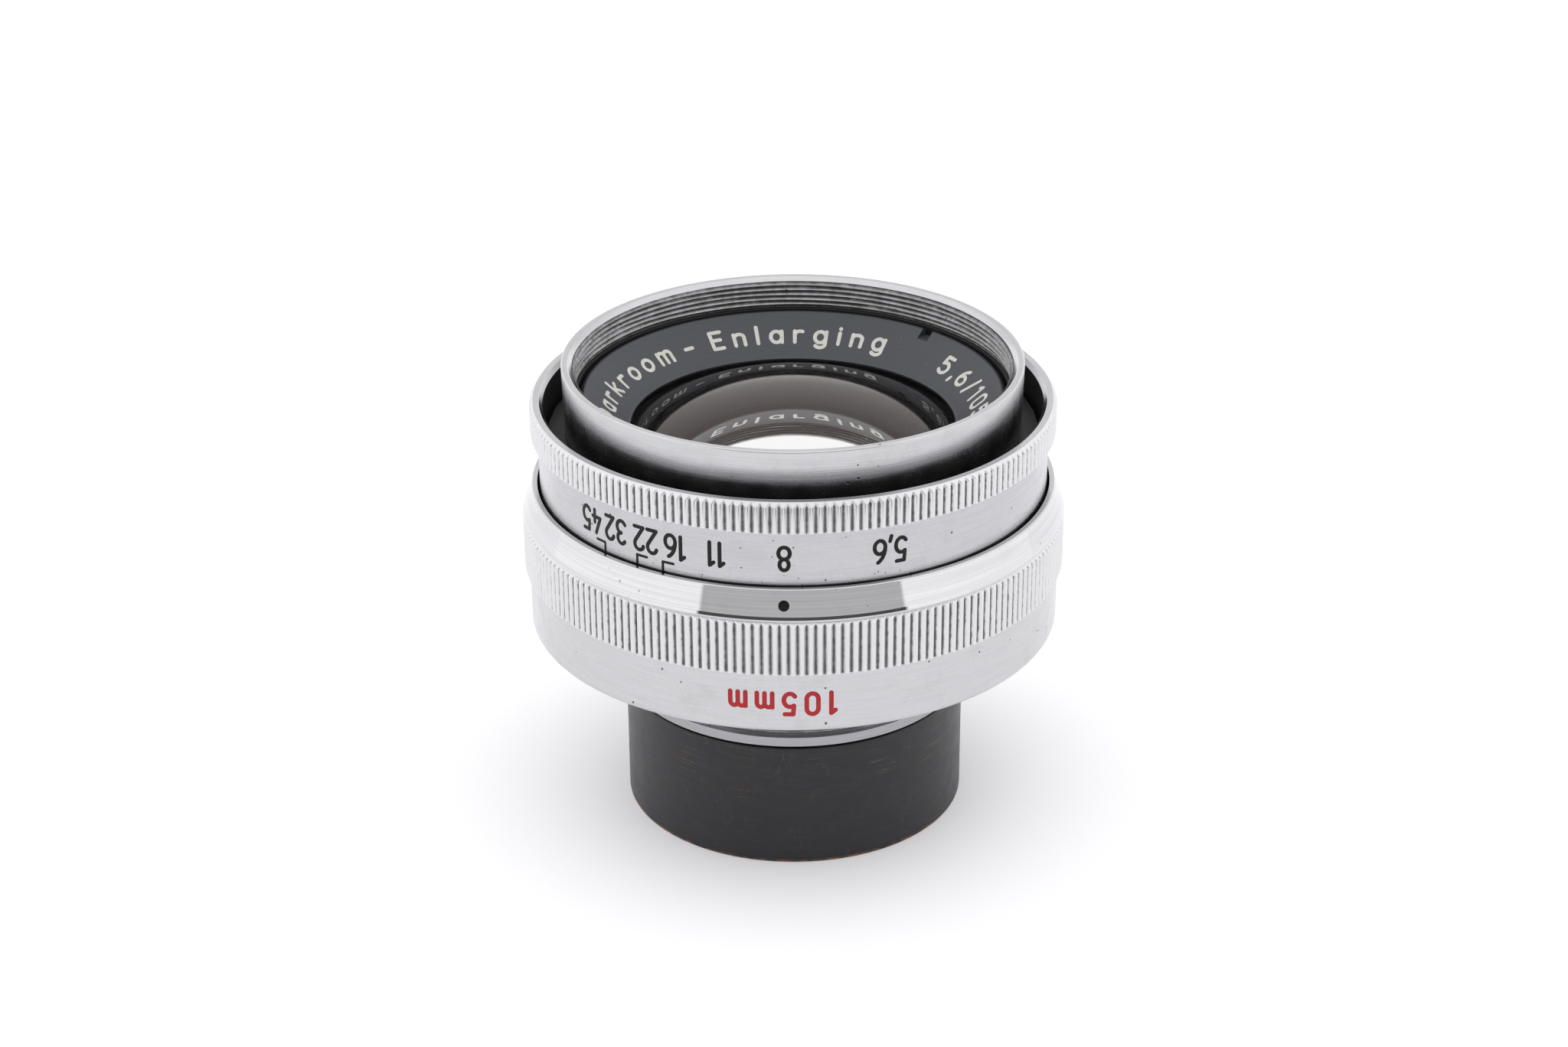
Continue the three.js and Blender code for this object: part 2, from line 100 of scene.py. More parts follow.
# Azimuths are in degrees to the right of the index. The turns are the ring's, from rest to each stop's click.
CLICK_Z = 29.0
CLICK_AZIMUTH = 180
CLICK_TURNS = (-22.8, 0, 14.5, 26.8, 33.5, 39.2, 42.6)
DRIVE_SCREW_Z = 24.9
DRIVE_SCREW_AZIMUTHS = (90, -90)
GRUB_SCREW_Z = 20.7
GRUB_SCREW_AZIMUTHS = (95, -95)

# The scale at rest: each number and its azimuth, and the azimuths of the leader lines beside some numbers,
# with 1 where a leader's arm points right and -1 where it points left.
SCALE = [("5,6", 22.8), ("8", 0.0), ("11", -14.5), ("16", -23.9), ("22", -31.2), ("32", -39.5),
         ("45", -47.1)]
LEADERS = [(-26.9, 1), (-33.5, 1), (-42.8, -1)]

# Columns round a large turned piece and round a small one; steps across a glass face and round a corner.
FINE = 256
SMALL = 40
GLASS_STEPS = 64
CORNER_STEPS = 4
# Distance of an outline's support points from a corner, which keeps the flats beside it evenly shaded.
SUPPORT = 0.05
SHARP_ANGLE = math.radians(32)

# ---------------------------------------------------------------- shader helpers


class Nodes:
    """Fills the node tree of a material or of the world."""

    def __init__(self, owner):
        owner.use_nodes = True
        self.tree = owner.node_tree
        self.tree.nodes.clear()

    def connect(self, socket, value):
        if isinstance(value, bpy.types.NodeSocket):
            self.tree.links.new(value, socket)
        else:
            socket.default_value = value

    def node(self, kind, *values, **settings):
        made = self.tree.nodes.new(kind)
        for key, value in settings.items():
            setattr(made, key, value)
        for socket, value in zip(made.inputs, values):
            self.connect(socket, value)
        return made

    def math(self, operation, a, b=0.0):
        return self.node("ShaderNodeMath", a, b, operation=operation).outputs[0]

    def times(self, a, b):
        return self.math("MULTIPLY", a, b)

    def band(self, value, start, end, low=0.0, high=1.0):
        """`low` up to `start`, `high` from `end` on, and a ramp between them."""
        return self.node("ShaderNodeMapRange", value, start, end, low, high).outputs[0]


class Shader(Nodes):
    """A node material built from object coordinates, in millimetres from the lens's own origin."""

    def __init__(self, name):
        self.material = bpy.data.materials.new(name)
        super().__init__(self.material)
        self.surface = self.node("ShaderNodeBsdfPrincipled")
        self.node("ShaderNodeOutputMaterial", self.surface.outputs[0])
        scaled = self.node("ShaderNodeVectorMath", operation="SCALE")
        self.connect(scaled.inputs[0], self.node("ShaderNodeTexCoord").outputs["Object"])
        self.connect(scaled.inputs["Scale"], 1 / MM)
        self.place = scaled.outputs[0]
        self.x, self.y, self.z = self.node("ShaderNodeSeparateXYZ", self.place).outputs
        squares = self.math("ADD", self.times(self.x, self.x), self.times(self.y, self.y))
        self.radius = self.math("SQRT", squares)

    def stretched(self, sideways):
        """Coordinates that run fast along height and radius, and slowly round the lens."""
        climb = self.math("ADD", self.z, self.times(self.radius, 0.7))
        x, y = self.times(self.x, sideways), self.times(self.y, sideways)
        return self.node("ShaderNodeCombineXYZ", x, y, climb).outputs[0]

    def noise(self, vector, scale, detail=2.0, rough=0.5):
        made = self.node("ShaderNodeTexNoise")
        self.connect(made.inputs["Vector"], vector)
        made.inputs["Scale"].default_value = scale
        made.inputs["Detail"].default_value = detail
        made.inputs["Roughness"].default_value = rough
        return made.outputs[0]

    def spots(self, scale, size):
        """Small round spots of up to `size` cells, 1 inside."""
        made = self.node("ShaderNodeTexVoronoi")
        self.connect(made.inputs["Vector"], self.place)
        made.inputs["Scale"].default_value = scale
        chance = self.node("ShaderNodeSeparateColor", made.outputs["Color"]).outputs[0]
        reach = self.times(self.band(chance, 0.72, 1.0), size)
        return self.band(self.math("SUBTRACT", reach, made.outputs["Distance"]), 0.0, 0.02)

    def scratches(self, turn, stretch, scale, detail, width):
        """Thin lines where a stretched noise crosses its middle value, 1 on the line."""
        aligned = self.node("ShaderNodeMapping", self.place, (0, 0, 0), turn, stretch).outputs[0]
        from_middle = self.math("SUBTRACT", self.noise(aligned, scale, detail), 0.5)
        return self.band(self.math("ABSOLUTE", from_middle), width, 0.0)

    def mix(self, factor, a, b):
        made = self.node("ShaderNodeMix", data_type="RGBA")
        self.connect(made.inputs[0], factor)
        for socket, value in ((made.inputs[6], a), (made.inputs[7], b)):
            self.connect(socket, value if isinstance(value, bpy.types.NodeSocket) else (*value, 1.0))
        return made.outputs[2]

    def set(self, name, value):
        """Gives one of the surface's own sockets a value or a link."""
        if isinstance(value, tuple) and len(value) == 3 and name.endswith(("Color", "Tint")):
            value = (*value, 1.0)
        self.connect(self.surface.inputs[name], value)

    def bump(self, height, distance, strength, normal=None):
        made = self.node("ShaderNodeBump")
        made.inputs["Strength"].default_value = strength
        made.inputs["Distance"].default_value = distance * MM
        self.connect(made.inputs["Height"], height)
        if normal is not None:
            self.connect(made.inputs["Normal"], normal)
        return made.outputs[0]


# ---------------------------------------------------------------- materials

CHROME = (0.563, 0.563, 0.576)
CHROME_DULL = (0.42, 0.41, 0.41)
GRIME = (0.045, 0.036, 0.028)


def worn_chrome(name, roughness, lines, wear=1.0, tone=CHROME, line_tone=0.94, mottle_depth=0.0015,
                sway=0.03):
    """Plated brass: fine turning lines that wander by `sway`, cloudy patches, specks and light scratches."""
    s = Shader(name)
    cloud = s.noise(s.place, 0.35, 4.0, 0.6)
    mottle = s.noise(s.place, 3.0, 3.0, 0.65)
    turning = s.noise(s.stretched(sway), 7.0, 1.0, 0.6)
    color = s.mix(s.band(turning, 0.35, 0.65), tone, tuple(line_tone * c for c in tone))
    color = s.mix(s.band(mottle, 0.45, 0.8, 0.0, 0.5), color, tuple(0.88 * c for c in tone))
    color = s.mix(s.times(s.band(cloud, 0.55, 0.8), 0.35 * wear), color, CHROME_DULL)
    pits = s.times(s.spots(1.1, 0.16), 0.85 * wear)
    color = s.mix(pits, color, GRIME)
    scratch_line = s.scratches((0.4, 0.9, 0.7), (0.5, 5.0, 0.9), 2.2, 1.0, 0.004)
    scratched = s.times(scratch_line, s.band(s.noise(s.place, 0.5, 2.0), 0.56, 0.66))
    color = s.mix(s.times(scratched, 0.35 * wear), color, CHROME_DULL)
    s.color = color
    s.set("Base Color", color)
    s.set("Metallic", 1.0)
    rough = s.math("ADD", s.band(cloud, 0.3, 0.8, roughness * 0.85, roughness * 1.25),
                   s.band(turning, 0.3, 0.7, -0.08 * roughness, 0.08 * roughness))
    s.set("Roughness", rough)
    grain = s.bump(mottle, mottle_depth, 0.25)
    lined = s.bump(turning, lines, 0.6, grain)
    s.set("Normal", s.bump(s.math("SUBTRACT", 1.0, pits), 0.04, 0.5, lined))
    return s


def scale_band_chrome():
    """Satin chrome with brown specks gathered along the band's lower edge."""
    s = worn_chrome("scale_band_chrome", 0.27, 0.006, 1.0, (0.515, 0.515, 0.533))
    low = s.math("ADD", s.z, s.band(s.noise(s.place, 0.5, 2.0), 0.3, 0.7, -0.7, 0.7))
    specks = s.times(s.spots(3.2, 0.3), s.band(low, SCALE_SPECKS_TOP, SCALE_SPECKS_TOP - 0.8))
    s.set("Base Color", s.mix(s.times(specks, 0.8), s.color, (0.14, 0.09, 0.055)))
    return s.material


def threaded_chrome(name, crest, root):
    """Chrome screw thread, much darker than the other chrome, and darker and duller toward the roots."""
    s = Shader(name)
    # The colour gets darker and duller toward the roots.
    depth = s.band(s.radius, crest, root)
    patch = s.noise(s.place, 1.1, 4.0, 0.65)
    darkened = s.times(s.band(depth, 0.25, 0.85), s.band(patch, 0.3, 0.6, 0.45, 1.0))
    # The metal is much darker than the other chrome: on the mount thread this is a painted shade, under the
    # base ring.
    metal = s.mix(s.band(patch, 0.4, 0.7), (0.33, 0.33, 0.345), (0.23, 0.23, 0.235))
    color = s.mix(s.times(darkened, 0.8), metal, GRIME)
    s.set("Base Color", s.mix(s.spots(0.9, 0.2), color, GRIME))
    s.set("Metallic", s.band(darkened, 0.3, 0.9, 1.0, 0.3))
    s.set("Roughness", s.band(patch, 0.3, 0.7, 0.24, 0.4))
    s.set("Normal", s.bump(s.noise(s.place, 9.0, 2.0, 0.6), 0.004, 0.3))
    return s.material


def knurled_chrome(name, crest, foot, z_range, end_slopes):
    """Chrome, darker, browner and duller in the grooves, and not darkened on the chamfered ends."""
    s = Shader(name)
    low, high = z_range
    low_slope, high_slope = end_slopes
    above = s.math("ADD", foot, s.math("DIVIDE", s.math("SUBTRACT", s.z, low), low_slope))
    under = s.math("ADD", foot, s.math("DIVIDE", s.math("SUBTRACT", high, s.z), high_slope))
    local_crest = s.math("MINIMUM", crest, s.math("MINIMUM", above, under))
    depth = s.math("SUBTRACT", local_crest, s.radius)
    patch = s.noise(s.place, 1.6, 3.0, 0.6)
    grit = s.noise(s.place, 14.0, 2.0, 0.7)
    uneven = s.times(s.math("SUBTRACT", patch, 0.5), 0.16)
    # The grooves are coloured darker, browner and duller, in uneven patches.
    groove = s.band(s.math("ADD", depth, uneven), 0.12, 0.22)
    darkened = s.times(groove, s.band(grit, 0.25, 0.6, 0.6, 1.0))
    metal = s.mix(s.band(grit, 0.3, 0.7), (0.70, 0.70, 0.715), (0.62, 0.62, 0.63))
    brown = s.mix(s.band(patch, 0.45, 0.7), (0.10, 0.095, 0.09), GRIME)
    s.set("Base Color", s.mix(darkened, metal, brown))
    s.set("Metallic", s.band(darkened, 0.2, 0.8, 1.0, 0.0))
    s.set("Roughness", s.band(darkened, 0.0, 1.0, 0.3, 0.75))
    s.set("Normal", s.bump(grit, 0.012, 0.35))
    return s.material


def paint(name, color, roughness, specular=0.5):
    """Matt or satin paint with a fine uneven surface."""
    s = Shader(name)
    mottle = s.noise(s.place, 2.5, 4.0, 0.6)
    fine = s.noise(s.place, 22.0, 2.0, 0.6)
    s.set("Base Color", s.mix(s.band(mottle, 0.3, 0.7), color, tuple(0.8 * c for c in color)))
    s.set("Roughness", s.band(mottle, 0.3, 0.7, roughness * 0.9, roughness * 1.1))
    s.set("Specular IOR Level", specular)
    s.set("Normal", s.bump(fine, 0.01, 0.3))
    return s.material


def black_lacquer():
    """Black lacquer over brass: rubbed through in short circular scratches, and at the bottom edge."""
    s = Shader("black_lacquer")
    mottle = s.noise(s.place, 0.6, 4.0, 0.6)
    base = s.mix(s.band(mottle, 0.3, 0.7), (0.0100, 0.0086, 0.0105), (0.0150, 0.0132, 0.0156))
    where = s.band(s.noise(s.place, 0.28, 2.0, 0.6), 0.44, 0.6)
    where = s.times(where, s.band(s.z, 6.0, 9.0, 0.15, 1.0))
    line = s.noise(s.stretched(0.03), 6.0, 1.0, 0.4)
    broken = s.band(s.noise(s.place, 5.0, 3.0, 0.7), 0.42, 0.56)
    rubbed = s.times(s.times(s.band(line, 0.62, 0.68), where), broken)
    brass = s.mix(s.band(s.noise(s.place, 0.9, 1.0), 0.45, 0.6), (0.13, 0.13, 0.135), (0.20, 0.12, 0.055))
    color = s.mix(s.times(rubbed, 0.6), base, brass)
    haze = s.times(s.band(s.noise(s.stretched(0.25), 1.6, 4.0, 0.7), 0.5, 0.75), 0.25)
    color = s.mix(haze, color, (0.043, 0.041, 0.046))
    scuff_line = s.scratches((0.3, 0.2, 1.1), (1.1, 1.1, 0.16), 1.3, 2.0, 0.006)
    scuffed = s.times(scuff_line, s.band(s.noise(s.place, 0.4, 2.0), 0.52, 0.6))
    color = s.mix(s.times(scuffed, 0.35), color, (0.10, 0.095, 0.09))
    edge = s.times(s.band(s.z, 0.35, 0.05), s.band(s.noise(s.place, 0.7, 3.0), 0.4, 0.6))
    edge = s.times(edge, s.band(s.radius, BARREL_R - 0.4, BARREL_R - 0.1, 0.12, 1.0))
    color = s.mix(edge, color, (0.22, 0.10, 0.06))
    s.set("Base Color", color)
    s.set("Metallic", s.times(rubbed, 0.5))
    s.set("Specular IOR Level", 0.42)
    s.set("Roughness", s.band(mottle, 0.3, 0.7, 0.36, 0.46))
    fine = s.bump(s.noise(s.place, 16.0, 3.0, 0.7), 0.008, 0.3)
    s.set("Normal", s.bump(s.noise(s.stretched(0.05), 8.0, 3.0), 0.006, 0.4, fine))
    return s.material


def name_ring_black():
    """Satin black with fine turning lines and dust."""
    s = Shader("name_ring_black")
    turning = s.noise(s.stretched(0.04), 10.0, 3.0, 0.7)
    dust = s.spots(1.7, 0.1)
    color = s.mix(s.band(turning, 0.3, 0.7), (0.044, 0.046, 0.055), (0.059, 0.061, 0.073))
    s.set("Base Color", s.mix(s.times(dust, 0.5), color, (0.35, 0.33, 0.30)))
    s.set("Roughness", s.band(turning, 0.3, 0.7, 0.40, 0.50))
    s.set("Normal", s.bump(turning, 0.006, 0.5))
    return s.material


def bare_metal(name, color, roughness):
    """Turned screws, the click's parts, the iris blades and the blackened cam ring."""
    s = Shader(name)
    mottle = s.noise(s.place, 4.0, 3.0, 0.6)
    turning = s.noise(s.stretched(0.1), 8.0, 2.0, 0.6)
    s.set("Base Color", s.mix(s.band(mottle, 0.3, 0.7), color, tuple(0.75 * c for c in color)))
    s.set("Metallic", 1.0)
    s.set("Roughness", s.band(mottle, 0.3, 0.7, roughness * 0.85, roughness * 1.2))
    s.set("Normal", s.bump(turning, 0.0015, 0.3))
    return s.material


def optical_glass():
    """Polished glass with a faint coating and a little dust."""
    s = Shader("optical_glass")
    dust = s.times(s.spots(1.3, 0.08), 0.5)
    s.set("Base Color", s.mix(dust, (0.96, 0.955, 0.945), (0.6, 0.58, 0.55)))
    s.set("Roughness", s.band(dust, 0.0, 0.5, 0.0, 0.3))
    s.set("IOR", 1.62)
    s.set("Transmission Weight", 1.0)
    s.set("Specular Tint", (0.66, 0.48, 0.44))
    return s.material


def floor_paper():
    """White paper, lit a little from within so that it runs into the white walls."""
    s = Shader("floor_paper")
    fibre = s.noise(s.place, 1.2, 4.0, 0.6)
    s.set("Base Color", s.mix(s.band(fibre, 0.3, 0.7), (0.96, 0.955, 0.975), (0.95, 0.945, 0.965)))
    s.set("Roughness", 0.7)
    s.set("Normal", s.bump(fibre, 0.02, 0.1))
    s.set("Emission Color", (1.0, 0.99, 1.0))
    s.set("Emission Strength", 0.1)
    return s.material


SATIN = worn_chrome("satin_chrome", 0.25, 0.006).material
SCALE_SATIN = scale_band_chrome()
# A darker copy of the satin chrome for the spigot: a painted shade, as the spigot lies in shade under the
# base ring.
SHADED_SPIGOT_CHROME = worn_chrome("spigot_chrome_painted_shade", 0.22, 0.004, 0.6, (0.38, 0.38, 0.395)).material
POLISHED = worn_chrome("polished_chrome", 0.02, 0.0006, 0.5, (0.66, 0.66, 0.675), 0.88, 0.0, 0.006).material
BASE_KNURL = knurled_chrome("base_knurl_chrome", *BASE_KNURL_SHAPE)
RING_KNURL = knurled_chrome("ring_knurl_chrome", *RING_KNURL_SHAPE)
FILTER_THREAD = threaded_chrome("filter_thread_chrome", FILTER_THREAD_R - 0.27, FILTER_THREAD_R)
# The mount thread's dark metal is a painted shade, under the base ring.
MOUNT_THREAD = threaded_chrome("mount_thread_chrome", SPIGOT_R, SPIGOT_R - 0.27)
BRIGHT = worn_chrome("bright_chrome", 0.16, 0.003, 0.4, (0.55, 0.55, 0.57)).material
LACQUER = black_lacquer()
MATT_BLACK = paint("matt_black", (0.012, 0.012, 0.013), 0.55)
NAME_BLACK = name_ring_black()
WHITE_FILL = paint("white_fill", (0.70, 0.69, 0.64), 0.5)
BLACK_FILL = paint("black_fill", (0.010, 0.0095, 0.009), 0.45, 0.2)
RED_FILL = paint("red_fill", (0.42, 0.016, 0.021), 0.42, 0.3)
STEEL = bare_metal("turned_steel", (0.42, 0.42, 0.43), 0.3)
BRASS = bare_metal("cam_brass", (0.050, 0.042, 0.036), 0.42)
BLADE_STEEL = bare_metal("blade_steel", (0.045, 0.045, 0.049), 0.38)
GLASS = optical_glass()
FLOOR = floor_paper()

# ---------------------------------------------------------------- mesh helpers


def linked(name, data):
    """A mesh or camera as an object of the scene."""
    made = bpy.data.objects.new(name, data)
    bpy.context.scene.collection.objects.link(made)
    return made


def primitive(name, create, **settings):
    """An object made by one of bmesh's own shapes."""
    mesh = bpy.data.meshes.new(name)
    work = bmesh.new()
    create(work, **settings)
    work.to_mesh(mesh)
    work.free()
    return linked(name, mesh)


def facing_outward(mesh, weld=0.0):
    """Turns a mesh's faces outward, after joining the points that are nearer than `weld`."""
    work = bmesh.new()
    work.from_mesh(mesh)
    if weld:
        bmesh.ops.remove_doubles(work, verts=work.verts, dist=weld)
    bmesh.ops.recalc_face_normals(work, faces=work.faces)
    work.to_mesh(mesh)
    work.free()


def finished(name, mesh, materials):
    """Cleans a mesh, shades it smooth with sharp corners and puts it in the scene."""
    facing_outward(mesh, 1e-7)
    mesh.shade_smooth()
    mesh.set_sharp_from_angle(angle=SHARP_ANGLE)
    for material in materials:
        mesh.materials.append(material)
    return linked(name, mesh)


def grid_ring(name, radii, heights, slots, materials, closed=True):
    """A turned body: a row of vertices for each outline point, a column for each angle."""
    rows, columns = radii.shape
    heights = np.broadcast_to(heights, radii.shape)
    angle = np.linspace(0, 2 * math.pi, columns, endpoint=False)
    points = np.stack([radii * np.cos(angle), radii * np.sin(angle), heights], axis=-1) * MM
    row_count = rows if closed else rows - 1
    row, column = np.meshgrid(np.arange(row_count), np.arange(columns), indexing="ij")
    next_row, next_column = (row + 1) % rows, (column + 1) % columns
    corners = [row * columns + column, row * columns + next_column,
               next_row * columns + next_column, next_row * columns + column]
    faces = np.stack(corners, axis=-1).reshape(-1, 4)
    mesh = bpy.data.meshes.new(name)
    mesh.from_pydata(points.reshape(-1, 3).tolist(), [], faces.tolist())
    mesh.polygons.foreach_set("material_index", np.repeat(np.array(slots[:row_count]), columns))
    return finished(name, mesh, materials)


def outline_points(corners, closed=True):
    """Rounds each (radius, height, rounding, slot) corner and adds support points beside it.

    A corner may leave out its slot, or its rounding and its slot, which are then 0.
    """
    corners = [corner + (0.0, 0)[len(corner) - 2:] for corner in corners]
    points = []
    count = len(corners)
    for k, (r, z, rounding, slot) in enumerate(corners):
        here = Vector((r, z))
        back = Vector(corners[k - 1][:2]) - here
        ahead = Vector(corners[(k + 1) % count][:2]) - here
        at_end = not closed and k in (0, count - 1)
        size = 0.0 if at_end else min(rounding, 0.4 * back.length, 0.4 * ahead.length)
        old_slot = corners[k - 1][3]
        if not at_end and back.length > 4 * SUPPORT:
            side = here + back.normalized() * (size + SUPPORT)
            points.append((side.x, side.y, old_slot))
        if size:
            start = here + back.normalized() * size
            end = here + ahead.normalized() * size
            for step in range(CORNER_STEPS + 1):
                t = step / CORNER_STEPS
                spot = (1 - t) ** 2 * start + 2 * t * (1 - t) * here + t ** 2 * end
                points.append((spot.x, spot.y, slot if t >= 0.5 else old_slot))
        else:
            points.append((r, z, slot))
        if not at_end and ahead.length > 4 * SUPPORT:
            side = here + ahead.normalized() * (size + SUPPORT)
            points.append((side.x, side.y, slot))
    return points


def plain_rows(points, columns):
    """The radius of each outline point at each angle, its height, and its material slot."""
    radii = np.array([[point[0]] * columns for point in points])
    heights = np.array([[point[1]] for point in points])
    return radii, heights, [point[2] for point in points]


def turned(name, corners, materials, columns=FINE, closed=True):
    """A plain turned body from the corners of its outline; an open outline starts and ends on the axis."""
    return grid_ring(name, *plain_rows(outline_points(corners, closed), columns), materials, closed)


def threaded(name, before, thread, after, materials):
    """A turned body whose outline has a screw thread between two plain parts, in the last material."""
    radii, heights = thread
    columns = radii.shape[1]
    parts = (plain_rows(outline_points(before, False), columns),
             (radii, heights, [len(materials) - 1] * len(radii)),
             plain_rows(outline_points(after, False), columns))
    all_radii, all_heights, all_slots = (np.concatenate(rows) for rows in zip(*parts))
    return grid_ring(name, all_radii, all_heights, all_slots, materials)


def placed(piece, body, slot, *nodes):
    """Gives a finished piece its body and hides the CAD nodes it stands in for; its slot is not used."""
    if nodes:
        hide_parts(*nodes)
    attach(piece, body)


def cut(piece, *tools):
    """Cuts closed tools out of a piece."""
    for tool in tools:
        modifier = piece.modifiers.new("cut", "BOOLEAN")
        modifier.operation = "DIFFERENCE"
        modifier.solver = "EXACT"
        modifier.object = tool
    bpy.context.view_layer.update()
    result = piece.evaluated_get(bpy.context.evaluated_depsgraph_get()).data.copy()
    piece.modifiers.clear()
    indices = np.zeros(len(result.polygons), dtype=np.int32)
    result.polygons.foreach_get("material_index", indices)
    materials = list(piece.data.materials)
    piece.data = result
    # Clearing the list also sets every face to the first material, so the indices are written back.
    result.materials.clear()
    for material in materials:
        result.materials.append(material)
    result.polygons.foreach_set("material_index", np.minimum(indices, len(materials) - 1))
    result.shade_smooth()
    result.set_sharp_from_angle(angle=SHARP_ANGLE)
    for tool in tools:
        bpy.data.objects.remove(tool)
    return piece


def moved(piece, matrix):
    """Moves a piece's mesh and leaves its origin on the lens's own."""
    piece.data.transform(matrix)
    return piece


def box_tool(size, centre, turn=0.0):
    """A plain cutter, given in millimetres and turned about the lens's axis."""
    shape = Matrix.Translation(Vector(centre) * MM) @ Matrix.Diagonal((*(MM * v for v in size), 1.0))
    return moved(primitive("tool", bmesh.ops.create_cube, size=1.0), Matrix.Rotation(turn, 4, "Z") @ shape)


def rod_tool(radius, low, high):
    """A round cutter along +Z."""
    return turned("tool", [(0, low), (radius, low), (radius, high), (0, high)], [], SMALL, False)


def arc_tool(inner_r, outer_r, low, high, start, end):
    """A cutter for a slot round the lens, between two angles from +X."""
    steps = 24
    angles = [math.radians(start + (end - start) * i / steps) for i in range(steps + 1)]
    corners = ((inner_r, low), (outer_r, low), (outer_r, high), (inner_r, high))
    points = [(r * math.cos(a) * MM, r * math.sin(a) * MM, z * MM) for a in angles for r, z in corners]
    faces = [(4 * i + k, 4 * i + (k + 1) % 4, 4 * i + 4 + (k + 1) % 4, 4 * i + 4 + k)
             for i in range(steps) for k in range(4)]
    faces += [(3, 2, 1, 0), tuple(4 * steps + k for k in range(4))]
    mesh = bpy.data.meshes.new("tool")
    mesh.from_pydata(points, [], faces)
    return finished("tool", mesh, [])


def along_radius(distance, height, azimuth, tilt=0.0):
    """A frame off the axis at an azimuth from the index, whose +Z points outward and is tilted up."""
    turn = Matrix.Rotation(math.radians(azimuth), 4, "Z")
    aim = Matrix.Rotation(math.radians(90 - tilt), 4, "X")
    return turn @ Matrix.Translation((0, -distance * MM, height * MM)) @ aim


# ---------------------------------------------------------------- knurls and threads


def knurl_profile(phase):
    """Depth of a knurl from 0 on the ridge to 1 in the groove, for a phase of 0 to 1 round one pitch."""
    flat = 0.44
    groove = np.clip(1 - np.abs(phase - 0.5) / (0.5 - flat / 2), 0, 1)
    from_ridge = np.minimum(phase, 1 - phase) / (flat / 2)
    crown = 0.1 * np.clip(from_ridge, 0, 1) ** 2
    return crown + (1 - crown) * groove ** 0.8


def knurl_ring(name, shape, count, inner_r, material):
    """A straight knurl whose ends are chamfered, so that each groove ends in a point."""
    samples = 10
    columns = count * samples
    phase = (np.arange(columns) % samples) / samples
    crest, foot_r, (low, high), (low_slope, high_slope) = shape
    chamfer = crest - foot_r
    rise = np.linspace(0, chamfer, 6)
    outer_z = [*(low + rise * low_slope), *(high - rise[::-1] * high_slope)]
    limits = [*(foot_r + rise), *(foot_r + rise[::-1])]
    face = crest - KNURL_DEPTH * knurl_profile(phase)
    inside = np.full(columns, inner_r)
    rows = [inside, *(np.minimum(face, limit) for limit in limits), inside]
    heights = np.array([low, *outer_z, high])[:, None]
    return grid_ring(name, np.array(rows), heights, [0] * len(rows), [material])


def thread_rows(radius, depth, low, high, columns, inward):
    """Rows of a helical thread on a cylinder: climbing on the outside, or coming down in a bore."""
    per_turn = 10
    rows = int((high - low) / THREAD_PITCH * per_turn)
    heights = np.linspace(low, high, rows)[:, None]
    angle = np.linspace(0, 1, columns, endpoint=False)[None, :]
    phase = (heights / THREAD_PITCH - angle) % 1.0
    wave = np.abs(2 * phase - 1) ** 0.85
    fade = np.clip(np.minimum(heights - low, high - heights) / (0.6 * THREAD_PITCH), 0, 1)
    if inward:
        return (radius - depth * wave * fade)[::-1], heights[::-1]
    return radius + depth * wave * fade, heights


# ---------------------------------------------------------------- engraved lettering

# Degrees between an arc's points, and how far a filled stroke stands out of its surface and reaches below.
ARC_STEP = 12.0
PAINT_LIFT = 0.012
PAINT_DEPTH = 0.05


def arc(cx, cy, rx, ry, start, end):
    """Points of an arc of an ellipse, between two angles in degrees."""
    count = max(2, int(abs(end - start) / ARC_STEP) + 1)
    turns = [math.radians(start + (end - start) * i / (count - 1)) for i in range(count)]
    return [(cx + rx * math.cos(t), cy + ry * math.sin(t)) for t in turns]


def loop(cx, cy, rx, ry):
    """A whole ellipse as a closed stroke."""
    return arc(cx, cy, rx, ry, 0, 360)[:-1] + ["closed"]


